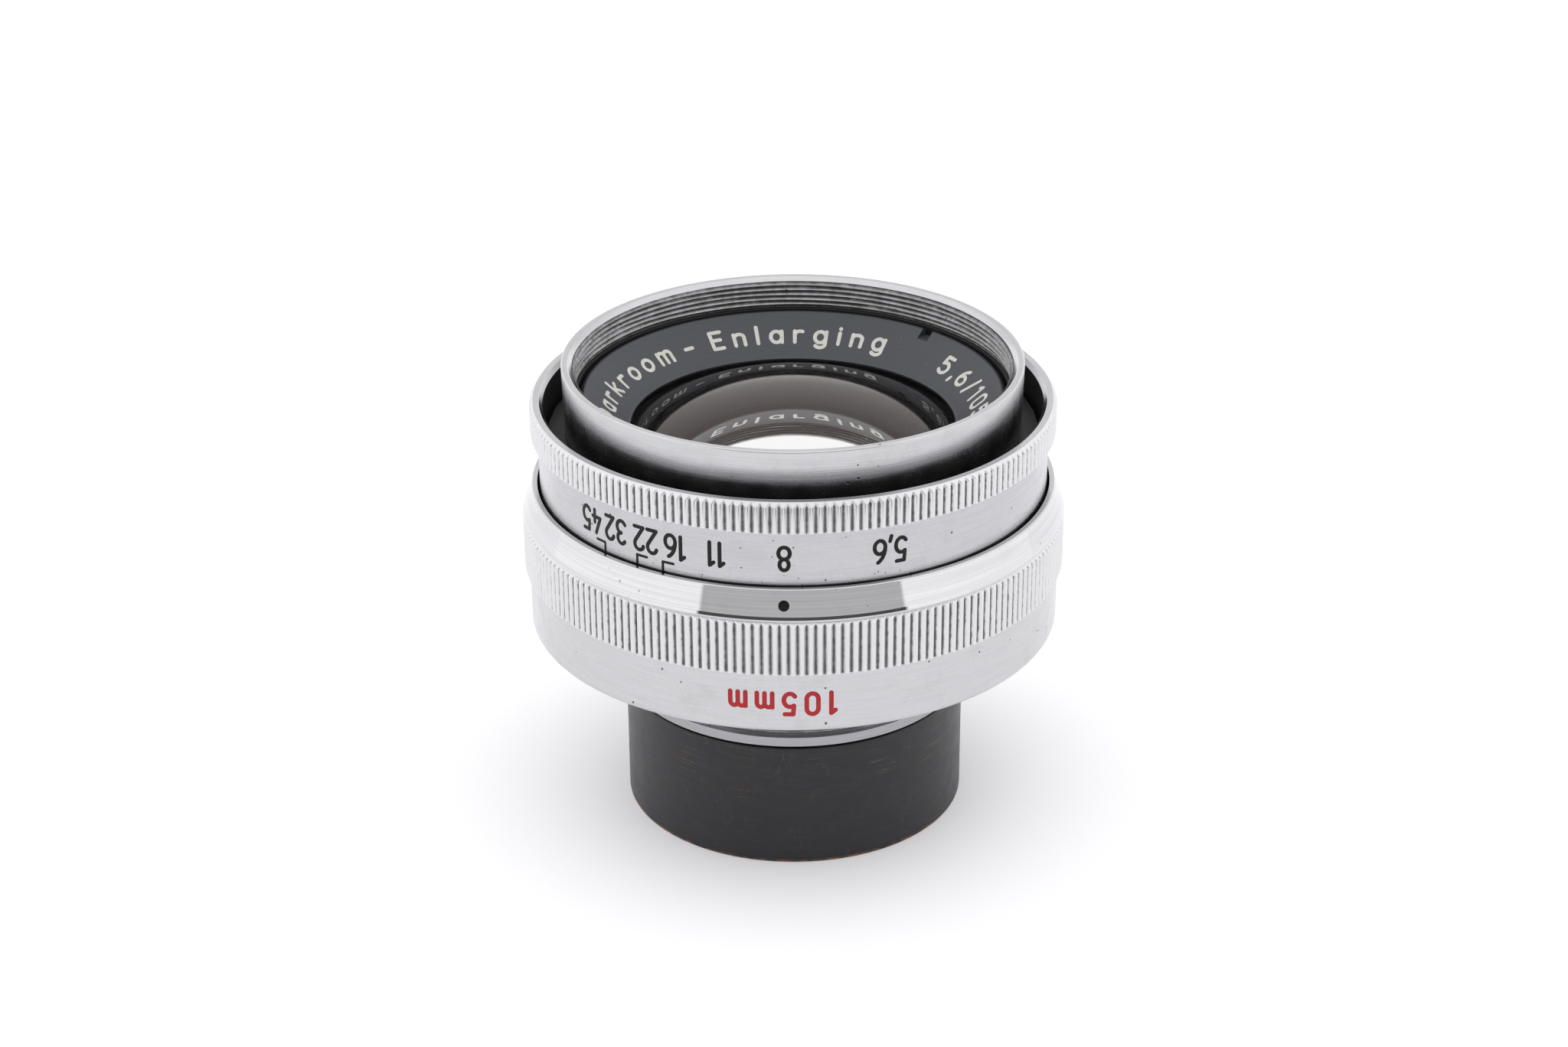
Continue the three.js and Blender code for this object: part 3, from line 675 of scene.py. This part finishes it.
# Each character: its width, and its strokes, for a capital height of 1.
GLYPHS = {
    "0": (0.50, [arc(0.25, 0.73, 0.25, 0.27, 0, 180) + arc(0.25, 0.27, 0.25, 0.27, 180, 360) + ["closed"]]),
    "1": (0.26, [[(0.20, 0.0), (0.20, 1.0)], [(0.20, 1.0), (0.02, 0.86)]]),
    "2": (0.50, [arc(0.25, 0.75, 0.24, 0.25, 165, -38) + [(0.02, 0.0)], [(0.02, 0.0), (0.50, 0.0)]]),
    "3": (0.50, [arc(0.24, 0.76, 0.22, 0.24, 150, -85), arc(0.24, 0.27, 0.25, 0.27, 85, -150)]),
    "4": (0.52, [[(0.30, 1.0), (0.0, 0.30)], [(0.0, 0.30), (0.52, 0.30)], [(0.38, 0.55), (0.38, 0.0)]]),
    "5": (0.48, [[(0.44, 1.0), (0.08, 1.0)], [(0.08, 1.0), (0.05, 0.58)],
                 [(0.05, 0.58)] + arc(0.22, 0.32, 0.26, 0.32, 115, -145)]),
    "6": (0.50, [loop(0.25, 0.29, 0.25, 0.29), arc(0.54, 0.29, 0.54, 0.71, 180, 112)]),
    "8": (0.50, [loop(0.25, 0.76, 0.20, 0.24), loop(0.25, 0.26, 0.25, 0.26)]),
    ",": (0.10, [[(0.08, 0.08), (0.02, -0.14)]]),
    "/": (0.40, [[(0.0, -0.08), (0.40, 1.06)]]),
    "-": (0.42, [[(0.04, 0.40), (0.38, 0.40)]]),
    "D": (0.54, [[(0.0, 0.0), (0.0, 1.0)],
                 [(0.0, 1.0), (0.12, 1.0)] + arc(0.14, 0.5, 0.40, 0.5, 90, -90) + [(0.0, 0.0)]]),
    "E": (0.44, [[(0.0, 0.0), (0.0, 1.0)], [(0.0, 1.0), (0.44, 1.0)], [(0.0, 0.52), (0.38, 0.52)],
                 [(0.0, 0.0), (0.44, 0.0)]]),
    "a": (0.46, [loop(0.23, 0.34, 0.23, 0.34), [(0.46, 0.68), (0.46, 0.0)]]),
    "g": (0.46, [loop(0.23, 0.34, 0.23, 0.34),
                 [(0.46, 0.68), (0.46, -0.08)] + arc(0.24, -0.10, 0.22, 0.2, 0, -150)]),
    "i": (0.04, [[(0.02, 0.68), (0.02, 0.0)], [(0.02, 0.95), (0.02, 0.93)]]),
    "k": (0.42, [[(0.0, 1.0), (0.0, 0.0)], [(0.38, 0.68), (0.0, 0.28)], [(0.13, 0.42), (0.42, 0.0)]]),
    "l": (0.04, [[(0.02, 1.0), (0.02, 0.0)]]),
    "m": (0.66, [[(0.0, 0.68), (0.0, 0.0)], arc(0.165, 0.48, 0.165, 0.2, 180, 0) + [(0.33, 0.0)],
                 arc(0.495, 0.48, 0.165, 0.2, 180, 0) + [(0.66, 0.0)]]),
    "n": (0.42, [[(0.0, 0.68), (0.0, 0.0)], arc(0.21, 0.46, 0.21, 0.22, 180, 0) + [(0.42, 0.0)]]),
    "o": (0.50, [loop(0.25, 0.34, 0.25, 0.34)]),
    "r": (0.30, [[(0.0, 0.68), (0.0, 0.0)], arc(0.22, 0.42, 0.22, 0.26, 180, 65)]),
}


def text_strokes(text, height, gap, stretch=1.0):
    """The strokes of a line of text in millimetres, centred on its width, standing on the base line."""
    widths = [GLYPHS[letter][0] for letter in text]
    x = -(sum(widths) + gap * (len(text) - 1)) / 2
    strokes = []
    for letter, width in zip(text, widths):
        for stroke in GLYPHS[letter][1]:
            points = [(stretch * height * (x + p[0]), height * p[1]) for p in stroke if p != "closed"]
            strokes.append((points, stroke[-1] == "closed"))
        x += width + gap
    return strokes


def stroke_sections(points, closed, half):
    """(centre, sideways, half width) along a stroke, with round ends where it is open."""
    points = [Vector(p) for p in points]
    count = len(points)
    sections = []
    for i, here in enumerate(points):
        before = points[i - 1] if closed or i else here
        after = points[(i + 1) % count] if closed or i < count - 1 else here
        along = (after - before).normalized()
        sections.append((here, Vector((-along.y, along.x)), half))
    if closed:
        return sections
    first = (points[1] - points[0]).normalized()
    last = (points[-1] - points[-2]).normalized()
    start = []
    end = []
    for angle in (82, 64, 44, 22):
        reach = half * math.sin(math.radians(angle))
        narrow = half * math.cos(math.radians(angle))
        start.append((points[0] - first * reach, sections[0][1], narrow))
        end.insert(0, (points[-1] + last * reach, sections[-1][1], narrow))
    return start + sections + end


def lettering(name, strokes, width, surface, material):
    """Thin closed ribbons, sunk into a surface given by surface(x, y, lift) in millimetres."""
    vertices = []
    faces = []
    for number, (points, closed) in enumerate(strokes):
        # Strokes that cross stand at different heights, so that their tops don't lie in one plane.
        rise = PAINT_LIFT + 0.001 * (number % 3)
        first = len(vertices)
        sections = stroke_sections(points, closed, width / 2)
        for centre, side, half in sections:
            left, right = centre + side * half, centre - side * half
            vertices += [surface(*left, rise), surface(*right, rise)]
            vertices += [surface(*right, -PAINT_DEPTH), surface(*left, -PAINT_DEPTH)]
        count = len(sections)
        for i in range(count if closed else count - 1):
            a, b = first + 4 * i, first + 4 * ((i + 1) % count)
            faces += [(a + k, a + (k + 1) % 4, b + (k + 1) % 4, b + k) for k in range(4)]
        if not closed:
            end = first + 4 * (count - 1)
            faces += [(first + 3, first + 2, first + 1, first), (end, end + 1, end + 2, end + 3)]
    mesh = bpy.data.meshes.new(name)
    mesh.from_pydata([[v * MM for v in p] for p in vertices], [], faces)
    facing_outward(mesh)
    mesh.materials.append(material)
    return linked(name, mesh)


def on_band(radius, azimuth, height):
    """Upside-down text round a vertical band: its tops point down, as it reads with the lens in its board."""
    def surface(x, y, lift):
        turn = math.radians(azimuth) - x / radius
        return ((radius + lift) * math.sin(turn), -(radius + lift) * math.cos(turn), height - y)
    return surface


def on_name_ring(angle, base_r, base_z, tilt):
    """Text on the name ring's cone: its tops point outward, and it reads clockwise from above."""
    def surface(x, y, lift):
        radius = base_r + y * math.cos(tilt) - lift * math.sin(tilt)
        height = base_z + y * math.sin(tilt) + lift * math.cos(tilt)
        turn = math.radians(angle) + x / (base_r + 0.9)
        return (radius * math.sin(turn), radius * math.cos(turn), height)
    return surface


# ---------------------------------------------------------------- base ring


def build_base_ring():
    cone_r, cone_z = CONE_FOOT
    knurl_low, knurl_high = BASE_KNURL_Z
    floor_z = APERTURE_BOTTOM - 0.3
    foot_bore = BODY_R + 0.3
    valley = BASE_KNURL_R - KNURL_DEPTH - 0.06
    ring = turned("base_ring_turned", [
        (foot_bore, SEAT_Z, 0.05),
        (PLAIN_BAND_R, SEAT_Z, 0.38),
        (PLAIN_BAND_R, knurl_low - 0.02, 0.05),
        (valley, knurl_low + 0.02),
        (valley, knurl_high + 0.06),
        (cone_r - 0.3, knurl_high + 0.06, 0.03, 1),
        (cone_r + 0.03, cone_z - 0.06, 0.02, 1),
        (cone_r - 0.06, cone_z + 0.24, 0.0, 1),
        (CONE_TOP_R, BASE_TOP - 0.06, 0.06, 2),
        (CONE_TOP_R - 0.1, BASE_TOP, 0.03, 2),
        (BASE_BORE_R, BASE_TOP - 0.04, 0.03, 3),
        (BASE_BORE_R, floor_z, 0.05, 3),
        (foot_bore, floor_z, 0.05),
    ], [SATIN, POLISHED, BRIGHT, MATT_BLACK])
    tilt = math.degrees(math.atan2(cone_r - CONE_TOP_R, BASE_TOP - cone_z))
    index_r = cone_r + (CONE_TOP_R - cone_r) * (INDEX_Z - cone_z) / (BASE_TOP - cone_z)
    dot_place = along_radius(index_r, INDEX_Z, 0, tilt)
    dot_r = 0.485
    holes = [moved(rod_tool(dot_r + 0.005, -0.35, 0.3), dot_place)]
    for azimuth in GRUB_SCREW_AZIMUTHS:
        holes.append(moved(rod_tool(0.8, -3.5, 1), along_radius(PLAIN_BAND_R, GRUB_SCREW_Z, azimuth)))
    placed(cut(ring, *holes), "lens_body", "chromed_metal", "base_ring")

    knurl = knurl_ring("base_ring_knurl", BASE_KNURL_SHAPE, BASE_RIDGES, valley - 0.4, BASE_KNURL)
    placed(knurl, "lens_body", "chromed_metal", "base_ring")

    dot_depth = 0.34
    dot = turned("index_dot", [(0, -0.3), (0.25, -0.28), (0.44, -0.12, 0.02), (dot_r, -0.04, 0.01),
                               (dot_r, -dot_depth), (0, -dot_depth)], [BLACK_FILL], SMALL, False)
    placed(moved(dot, dot_place), "lens_body", "chromed_metal")

    screw_r = 0.72
    screw_low, screw_high = -2.3, -0.45
    for number, azimuth in enumerate(GRUB_SCREW_AZIMUTHS, 1):
        node = f"base_grub_screw_{number}"
        screw = turned(f"{node}_turned", [
            (0, screw_low),
            (screw_r - 0.1, screw_low, 0.05),
            (screw_r, screw_low + 0.15),
            (screw_r, screw_high - 0.1),
            (screw_r - 0.1, screw_high, 0.05),
            (0, screw_high),
        ], [STEEL], SMALL, False)
        cut(screw, box_tool((0.26, 2.0, 0.8), (0, 0, screw_high)))
        placed(moved(screw, along_radius(PLAIN_BAND_R, GRUB_SCREW_Z, azimuth)), "lens_body", "steel", node)

    text_height, gap, stroke = 2.05, 0.5, 0.42
    azimuth, base_line = -0.3, 22.75
    label = lettering("focal_length_label", text_strokes("105mm", text_height, gap), stroke,
                      on_band(PLAIN_BAND_R, azimuth, base_line), RED_FILL)
    placed(label, "lens_body", "chromed_metal")


# ---------------------------------------------------------------- aperture ring


def build_aperture_ring():
    bore = BODY_R + 0.35
    valley = RING_KNURL_R - KNURL_DEPTH - 0.06
    ledge = top_of("main_barrel") + 0.1
    knurl_low, knurl_high = RING_KNURL_Z
    lip_outer_r = RING_KNURL_R - 0.345
    lip_inner_r = RECESS_R + 0.4
    ring = turned("aperture_ring_turned", [
        (bore, APERTURE_BOTTOM, 0.05),
        (SCALE_BAND_R, APERTURE_BOTTOM, 0.1),
        (SCALE_BAND_R, knurl_low - 0.03, 0.04),
        (valley, knurl_low + 0.05),
        (valley, knurl_high - 0.05, 0.0, 1),
        (lip_outer_r, knurl_high - 0.05, 0.0, 1),
        (lip_outer_r, APERTURE_TOP, 0.03, 1),
        (lip_inner_r, APERTURE_TOP, 0.05, 1),
        (RECESS_R, APERTURE_TOP - 0.45, 0.05, 2),
        (RECESS_R, ledge, 0.05, 2),
        (bore, ledge, 0.05, 2),
    ], [SCALE_SATIN, BRIGHT, MATT_BLACK])
    hollows = []
    for turn in CLICK_TURNS:
        angle = math.radians(CLICK_AZIMUTH - 90 - turn)
        centre = Vector((math.cos(angle), math.sin(angle), 0.0)) * (BODY_R + 0.1)
        centre.z = CLICK_Z
        hollows.append(moved(rod_tool(0.95, -1.1, 1.1), Matrix.Translation(centre * MM)))
    for azimuth in DRIVE_SCREW_AZIMUTHS:
        hollows.append(moved(rod_tool(0.85, -2.5, 1), along_radius(SCALE_BAND_R, DRIVE_SCREW_Z, azimuth)))
    placed(cut(ring, *hollows), "aperture_control", "chromed_metal", "aperture_ring")
    knurl = knurl_ring("aperture_ring_knurl", RING_KNURL_SHAPE, RING_RIDGES, valley - 0.25, RING_KNURL)
    placed(knurl, "aperture_control", "chromed_metal", "aperture_ring")

    text_height, gap, stretch, stroke = 2.2, 0.2, 0.9, 0.36
    base_line = 36.4
    for text, azimuth in SCALE:
        number = lettering(f"scale_{text.replace(',', '_')}", text_strokes(text, text_height, gap, stretch),
                           stroke, on_band(SCALE_BAND_R, azimuth, base_line), BLACK_FILL)
        placed(number, "aperture_control", "chromed_metal")
    # A leader line runs along the band for its arm and down to the band's lower edge.
    corner_y, edge_y, arm = 2.74, 3.8, 1.05
    for number, (azimuth, side) in enumerate(LEADERS, 1):
        upright = ([(0, corner_y), (0, edge_y)], False)
        level = ([(0, corner_y), (-arm * side, corner_y)], False)
        leader = lettering(f"scale_leader_{number}", [upright, level], 0.25,
                           on_band(SCALE_BAND_R, azimuth, base_line), BLACK_FILL)
        placed(leader, "aperture_control", "chromed_metal")


# ---------------------------------------------------------------- body and cells


def build_main_barrel():
    bottom = bottom_of("main_barrel")
    top = top_of("main_barrel")
    undercut_r = SPIGOT_R - 0.3
    spigot_bore_r = 15.1
    body_bore_r = 18.8
    baffle_r = 10.2
    baffle_low, baffle_high = 18.2, 19.4
    # The spigot's darker chrome and the dark mount thread are painted shade under the base ring.
    thread = thread_rows(SPIGOT_R - 0.27, 0.25, bottom + 1.3, SEAT_Z - 0.15, 192, False)
    barrel = threaded("main_barrel_turned", [
        (spigot_bore_r, baffle_low),
        (spigot_bore_r, bottom, 0.05),
        (SPIGOT_R, bottom, 0.12),
        (SPIGOT_R, bottom + 0.98, 0.05),
        (undercut_r, bottom + 1.05),
    ], thread, [
        (undercut_r, SEAT_Z),
        (BODY_R, SEAT_Z, 0.05),
        (BODY_R, top, 0.05, 1),
        (body_bore_r, top, 0.05, 1),
        (body_bore_r, baffle_high, 0.0, 1),
        (baffle_r, baffle_high, 0.0, 1),
        (baffle_r, baffle_low),
    ], [SHADED_SPIGOT_CHROME, MATT_BLACK, MOUNT_THREAD])
    hollows = [moved(rod_tool(0.9, -2.7, 1), along_radius(BODY_R, CLICK_Z, CLICK_AZIMUTH))]
    slot_floor_r, half_width, spare_turn = 17.8, 0.8, 2.8
    slot_z = (DRIVE_SCREW_Z - half_width, DRIVE_SCREW_Z + half_width)
    for azimuth in DRIVE_SCREW_AZIMUTHS:
        start = azimuth - 90 + CLICK_TURNS[0] - spare_turn
        end = azimuth - 90 + CLICK_TURNS[-1] + spare_turn
        hollows.append(arc_tool(slot_floor_r, BODY_R + 1, *slot_z, start, end))
    placed(cut(barrel, *hollows), "lens_body", "chromed_metal", "main_barrel")


def build_rear_cell():
    low = bottom_of("rear_cell_barrel")
    top = top_of("rear_cell_barrel")
    shoulder_z = 12.2
    neck_r = 14.8
    bore_r = 14.0
    lip_r, lip_z = 12.4, 16.1
    barrel = turned("rear_cell_barrel_turned", [
        (bore_r + 0.3, low, 0.05),
        (BARREL_R, low, 0.16),
        (BARREL_R, shoulder_z, 0.16),
        (neck_r, shoulder_z, 0.05, 1),
        (neck_r, top, 0.05, 1),
        (lip_r, top, 0.05, 1),
        (lip_r, lip_z, 0.05, 1),
        (bore_r, lip_z, 0.0, 1),
        (bore_r, low + 0.3, 0.05, 1),
    ], [LACQUER, MATT_BLACK])
    placed(barrel, "lens_body", "black_lacquer", "rear_cell_barrel")
    ring_r = bore_r - 0.3
    ring_low, ring_high = 0.7, 2.8
    ring = turned("rear_retaining_ring_turned", [
        (lip_r, ring_low + 0.5, 0.1),
        (lip_r + 0.5, ring_low, 0.05),
        (ring_r, ring_low, 0.1),
        (ring_r, ring_high, 0.05),
        (lip_r, ring_high, 0.05),
    ], [MATT_BLACK])
    cut(ring, box_tool((30, 1.2, 1.8), (0, 0, ring_low)))
    placed(ring, "lens_body", "black_anodised", "rear_retaining_ring")


def build_front_cell():
    nose_r, nose_low, nose_high = 16.6, 24.7, 27.8
    cell_r = 18.4
    rim_foot_r, shoulder_z = 21.1, 37.9
    thread_low, thread_high = 41.35, 43.95
    pocket_r, pocket_z = 19.9, 38.4
    ledge_r, ledge_z = 17.7, 37.4
    glass_bore_r, glass_seat_z = 16.1, 34.8
    bore_r = 14.0
    lip_r, lip_z = 12.4, 25.45
    barrel = threaded("front_cell_barrel_turned", [
        (lip_r, nose_low, 0.05, 1),
        (nose_r, nose_low, 0.1, 1),
        (nose_r, nose_high, 0.05, 1),
        (cell_r, nose_high, 0.1, 1),
        (cell_r, shoulder_z, 0.0, 1),
        (rim_foot_r, shoulder_z, 0.1),
        (RIM_R, LENS_TOP - 0.12, 0.12),
        (RIM_R - 0.15, LENS_TOP, 0.06, 2),
        (FILTER_THREAD_R + 0.47, LENS_TOP, 0.08, 2),
        (FILTER_THREAD_R + 0.05, thread_high + 0.07, 0.0, 2),
    ], thread_rows(FILTER_THREAD_R, 0.27, thread_low, thread_high, FINE, True), [
        (FILTER_THREAD_R - 0.05, thread_low - 0.05, 0.0, 1),
        (pocket_r, thread_low - 0.1, 0.05, 1),
        (pocket_r, pocket_z, 0.05, 1),
        (ledge_r, pocket_z, 0.05, 1),
        (ledge_r, ledge_z, 0.05, 1),
        (glass_bore_r, ledge_z, 0.05, 1),
        (glass_bore_r, glass_seat_z, 0.05, 1),
        (bore_r, glass_seat_z, 0.05, 1),
        (bore_r, lip_z, 0.0, 1),
        (lip_r, lip_z, 0.05, 1),
    ], [SATIN, MATT_BLACK, BRIGHT, FILTER_THREAD])
    placed(barrel, "lens_body", "chromed_metal", "front_cell_barrel")


def build_name_ring():
    outer_r, outer_z = 19.1, NAME_TOP - 0.04
    inner_r, inner_z = 15.3, 38.05
    bore_r = inner_r - 0.25
    foot_r, foot_z = 17.4, 37.7
    flange_r, flange_z = 19.6, 38.7
    ring = turned("name_ring_turned", [
        (bore_r, foot_z, 0.05, 1),
        (foot_r, foot_z, 0.05, 1),
        (foot_r, flange_z, 0.05, 1),
        (flange_r, flange_z, 0.05, 1),
        (flange_r, NAME_TOP - 0.18, 0.06, 1),
        (outer_r + 0.2, NAME_TOP - 0.02, 0.06),
        (outer_r, outer_z, 0.05),
        (inner_r, inner_z, 0.06),
        (bore_r, inner_z - 0.12, 0.05, 1),
    ], [NAME_BLACK, MATT_BLACK])
    notch_size, notch_place = (2.4, 1.2, 1.4), (19.4, 0, 41.2)
    notch_angle = math.radians(49)
    cut(ring, box_tool(notch_size, notch_place, notch_angle),
        box_tool(notch_size, notch_place, notch_angle + math.pi))
    placed(ring, "lens_body", "name_ring_black", "name_ring")

    tilt = math.atan2(outer_z - inner_z, outer_r - inner_r)
    base_r = 16.5
    base_z = inner_z + (base_r - inner_r) * math.tan(tilt)
    text_height, stretch, stroke = 1.78, 1.35, 0.38
    # Each piece's name and text, its middle in degrees clockwise from the back, and its gaps.
    words = (("name_first", "Darkroom", -73.5, 0.49), ("name_dash", "-", -38, 0.0),
             ("name_second", "Enlarging", 0, 0.54), ("name_figures", "5,6/105", 75, 0.42))
    for name, text, angle, gap in words:
        word = lettering(name, text_strokes(text, text_height, gap, stretch), stroke,
                         on_name_ring(angle, base_r, base_z, tilt), WHITE_FILL)
        placed(word, "lens_body", "name_ring_black")


# ---------------------------------------------------------------- glass


def lens_face(vertex, curvature, bend, radius):
    """Points of a spherical face from the axis outward; bend is +1 where the rim stands higher."""
    points = []
    for i in range(GLASS_STEPS + 1):
        r = radius * math.sin(math.pi / 2 * i / GLASS_STEPS)
        points.append((r, vertex + bend * (curvature - math.sqrt(curvature ** 2 - r * r))))
    return points


def build_glass():
    """The glass groups, with blacked rims; a cemented pair is one piece.

    Each group has the CAD nodes it stands in for, its lower face, the corners of its rim, its upper face
    and that face's radius. A face is given by its vertex height, its radius of curvature and its bend.
    """
    small = INNER_GLASS_R
    step = [(small, 35.1), (FRONT_GLASS_R, 35.65)]
    groups = {
        "rear_doublet": (("rear_element_outer", "rear_element_middle"),
                         (1.0, 38, 1), [], (9.4, 55, 1), small),
        "rear_meniscus": (("rear_element_inner",), (10.9, 34, 1), [], (14.0, 50, 1), small),
        "front_meniscus": (("front_element_inner",), (26.9, 90, -1), [], (29.7, 34, -1), small),
        "front_doublet": (("front_element_outer", "front_element_middle"),
                          (31.0, 32, -1), step, (41.3, 30, -1), FRONT_GLASS_R),
    }
    for name, (nodes, lower, rim, upper, upper_r) in groups.items():
        outline = lens_face(*lower, small) + rim + lens_face(*upper, upper_r)[::-1]
        slots = [0] * GLASS_STEPS + [1] * (1 + len(rim)) + [0] * (GLASS_STEPS + 1)
        points = [(*point, slot) for point, slot in zip(outline, slots)]
        piece = grid_ring(f"{name}_glass", *plain_rows(points, FINE), [GLASS, MATT_BLACK], False)
        placed(piece, "lens_body", "coated_glass", *nodes)


def dress_cad_nodes():
    """Materials for the CAD pieces that are kept as they are."""
    looks = {"iris_cam_ring": BRASS, "drive_screw": STEEL, "click": STEEL, "iris_blade": BLADE_STEEL}
    for name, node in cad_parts.items():
        look = next((look for start, look in looks.items() if name.startswith(start)), MATT_BLACK)
        for slot in node.material_slots:
            slot.material = look


# ---------------------------------------------------------------- stage, light and camera


def build_stage():
    """A wide round floor, just under the lens."""
    floor = primitive("floor", bmesh.ops.create_circle, cap_ends=True, segments=64, radius=4.0)
    floor.location.z = -0.02 * MM
    floor.data.materials.append(FLOOR)


def build_light():
    """White studio walls all round, with the darker gap between two softboxes on the index side."""
    world = bpy.data.worlds.new("studio")
    bpy.context.scene.world = world
    s = Nodes(world)

    def by_azimuth(value, start, end):
        """A ramp between two azimuths, in degrees."""
        return s.band(value, math.radians(start), math.radians(end))

    def by_elevation(start, end, low=0.0, high=1.0):
        """A ramp between two elevations, in degrees."""
        return s.band(z, math.sin(math.radians(start)), math.sin(math.radians(end)), low, high)

    x, y, z = s.node("ShaderNodeSeparateXYZ", s.node("ShaderNodeTexCoord").outputs["Generated"]).outputs
    azimuth = s.math("ARCTAN2", x, s.times(y, -1.0))
    gap_sides = s.times(by_azimuth(azimuth, -37, -35.5), by_azimuth(azimuth, 48, 46.5))
    gap = s.times(gap_sides, by_elevation(42, 34))
    gap_level = by_elevation(11, 14, 0.1, 0.66)
    behind = s.times(by_azimuth(s.math("ABSOLUTE", azimuth), 115, 150), by_elevation(10, 18))
    wall_level = s.math("SUBTRACT", 1.32, s.times(behind, 0.3))
    level = s.math("ADD", s.times(gap, gap_level), s.times(s.math("SUBTRACT", 1.0, gap), wall_level))
    # The camera sees plain white walls.
    seen = s.node("ShaderNodeMix", s.node("ShaderNodeLightPath").outputs["Is Camera Ray"], data_type="FLOAT")
    s.connect(seen.inputs[2], level)
    s.connect(seen.inputs[3], 1.0)
    background = s.node("ShaderNodeBackground", (1.0, 1.0, 1.0, 1.0), seen.outputs[0])
    s.node("ShaderNodeOutputWorld", background.outputs[0])


def build_camera():
    """Looks at the lens from in front and above, a little to the right of the index."""
    distance, height = 260.1, 152.2
    azimuth, pitch, yaw, roll = math.radians(2.0), 0.44748, -0.00343, -0.00619
    forward = Vector((math.sin(yaw) * math.cos(pitch), math.cos(yaw) * math.cos(pitch), -math.sin(pitch)))
    right = Vector((math.cos(yaw), -math.sin(yaw), 0.0))
    up = right.cross(forward)
    side = right * math.cos(roll) + up * math.sin(roll)
    above = up * math.cos(roll) - right * math.sin(roll)
    pose = Matrix((side, above, -forward)).transposed().to_4x4()
    pose.translation = Vector((0, -distance, height)) * MM
    data = bpy.data.cameras.new("camera")
    data.sensor_width = 36.0
    data.lens = 70.3125
    data.clip_start = 0.005
    data.clip_end = 20.0
    camera = linked("camera", data)
    camera.matrix_world = Matrix.Rotation(azimuth, 4, "Z") @ pose
    bpy.context.scene.camera = camera


bpy.context.scene.view_settings.view_transform = "Standard"
dress_cad_nodes()
build_camera()
build_stage()
build_light()
build_base_ring()
build_aperture_ring()
build_main_barrel()
build_rear_cell()
build_front_cell()
build_name_ring()
build_glass()
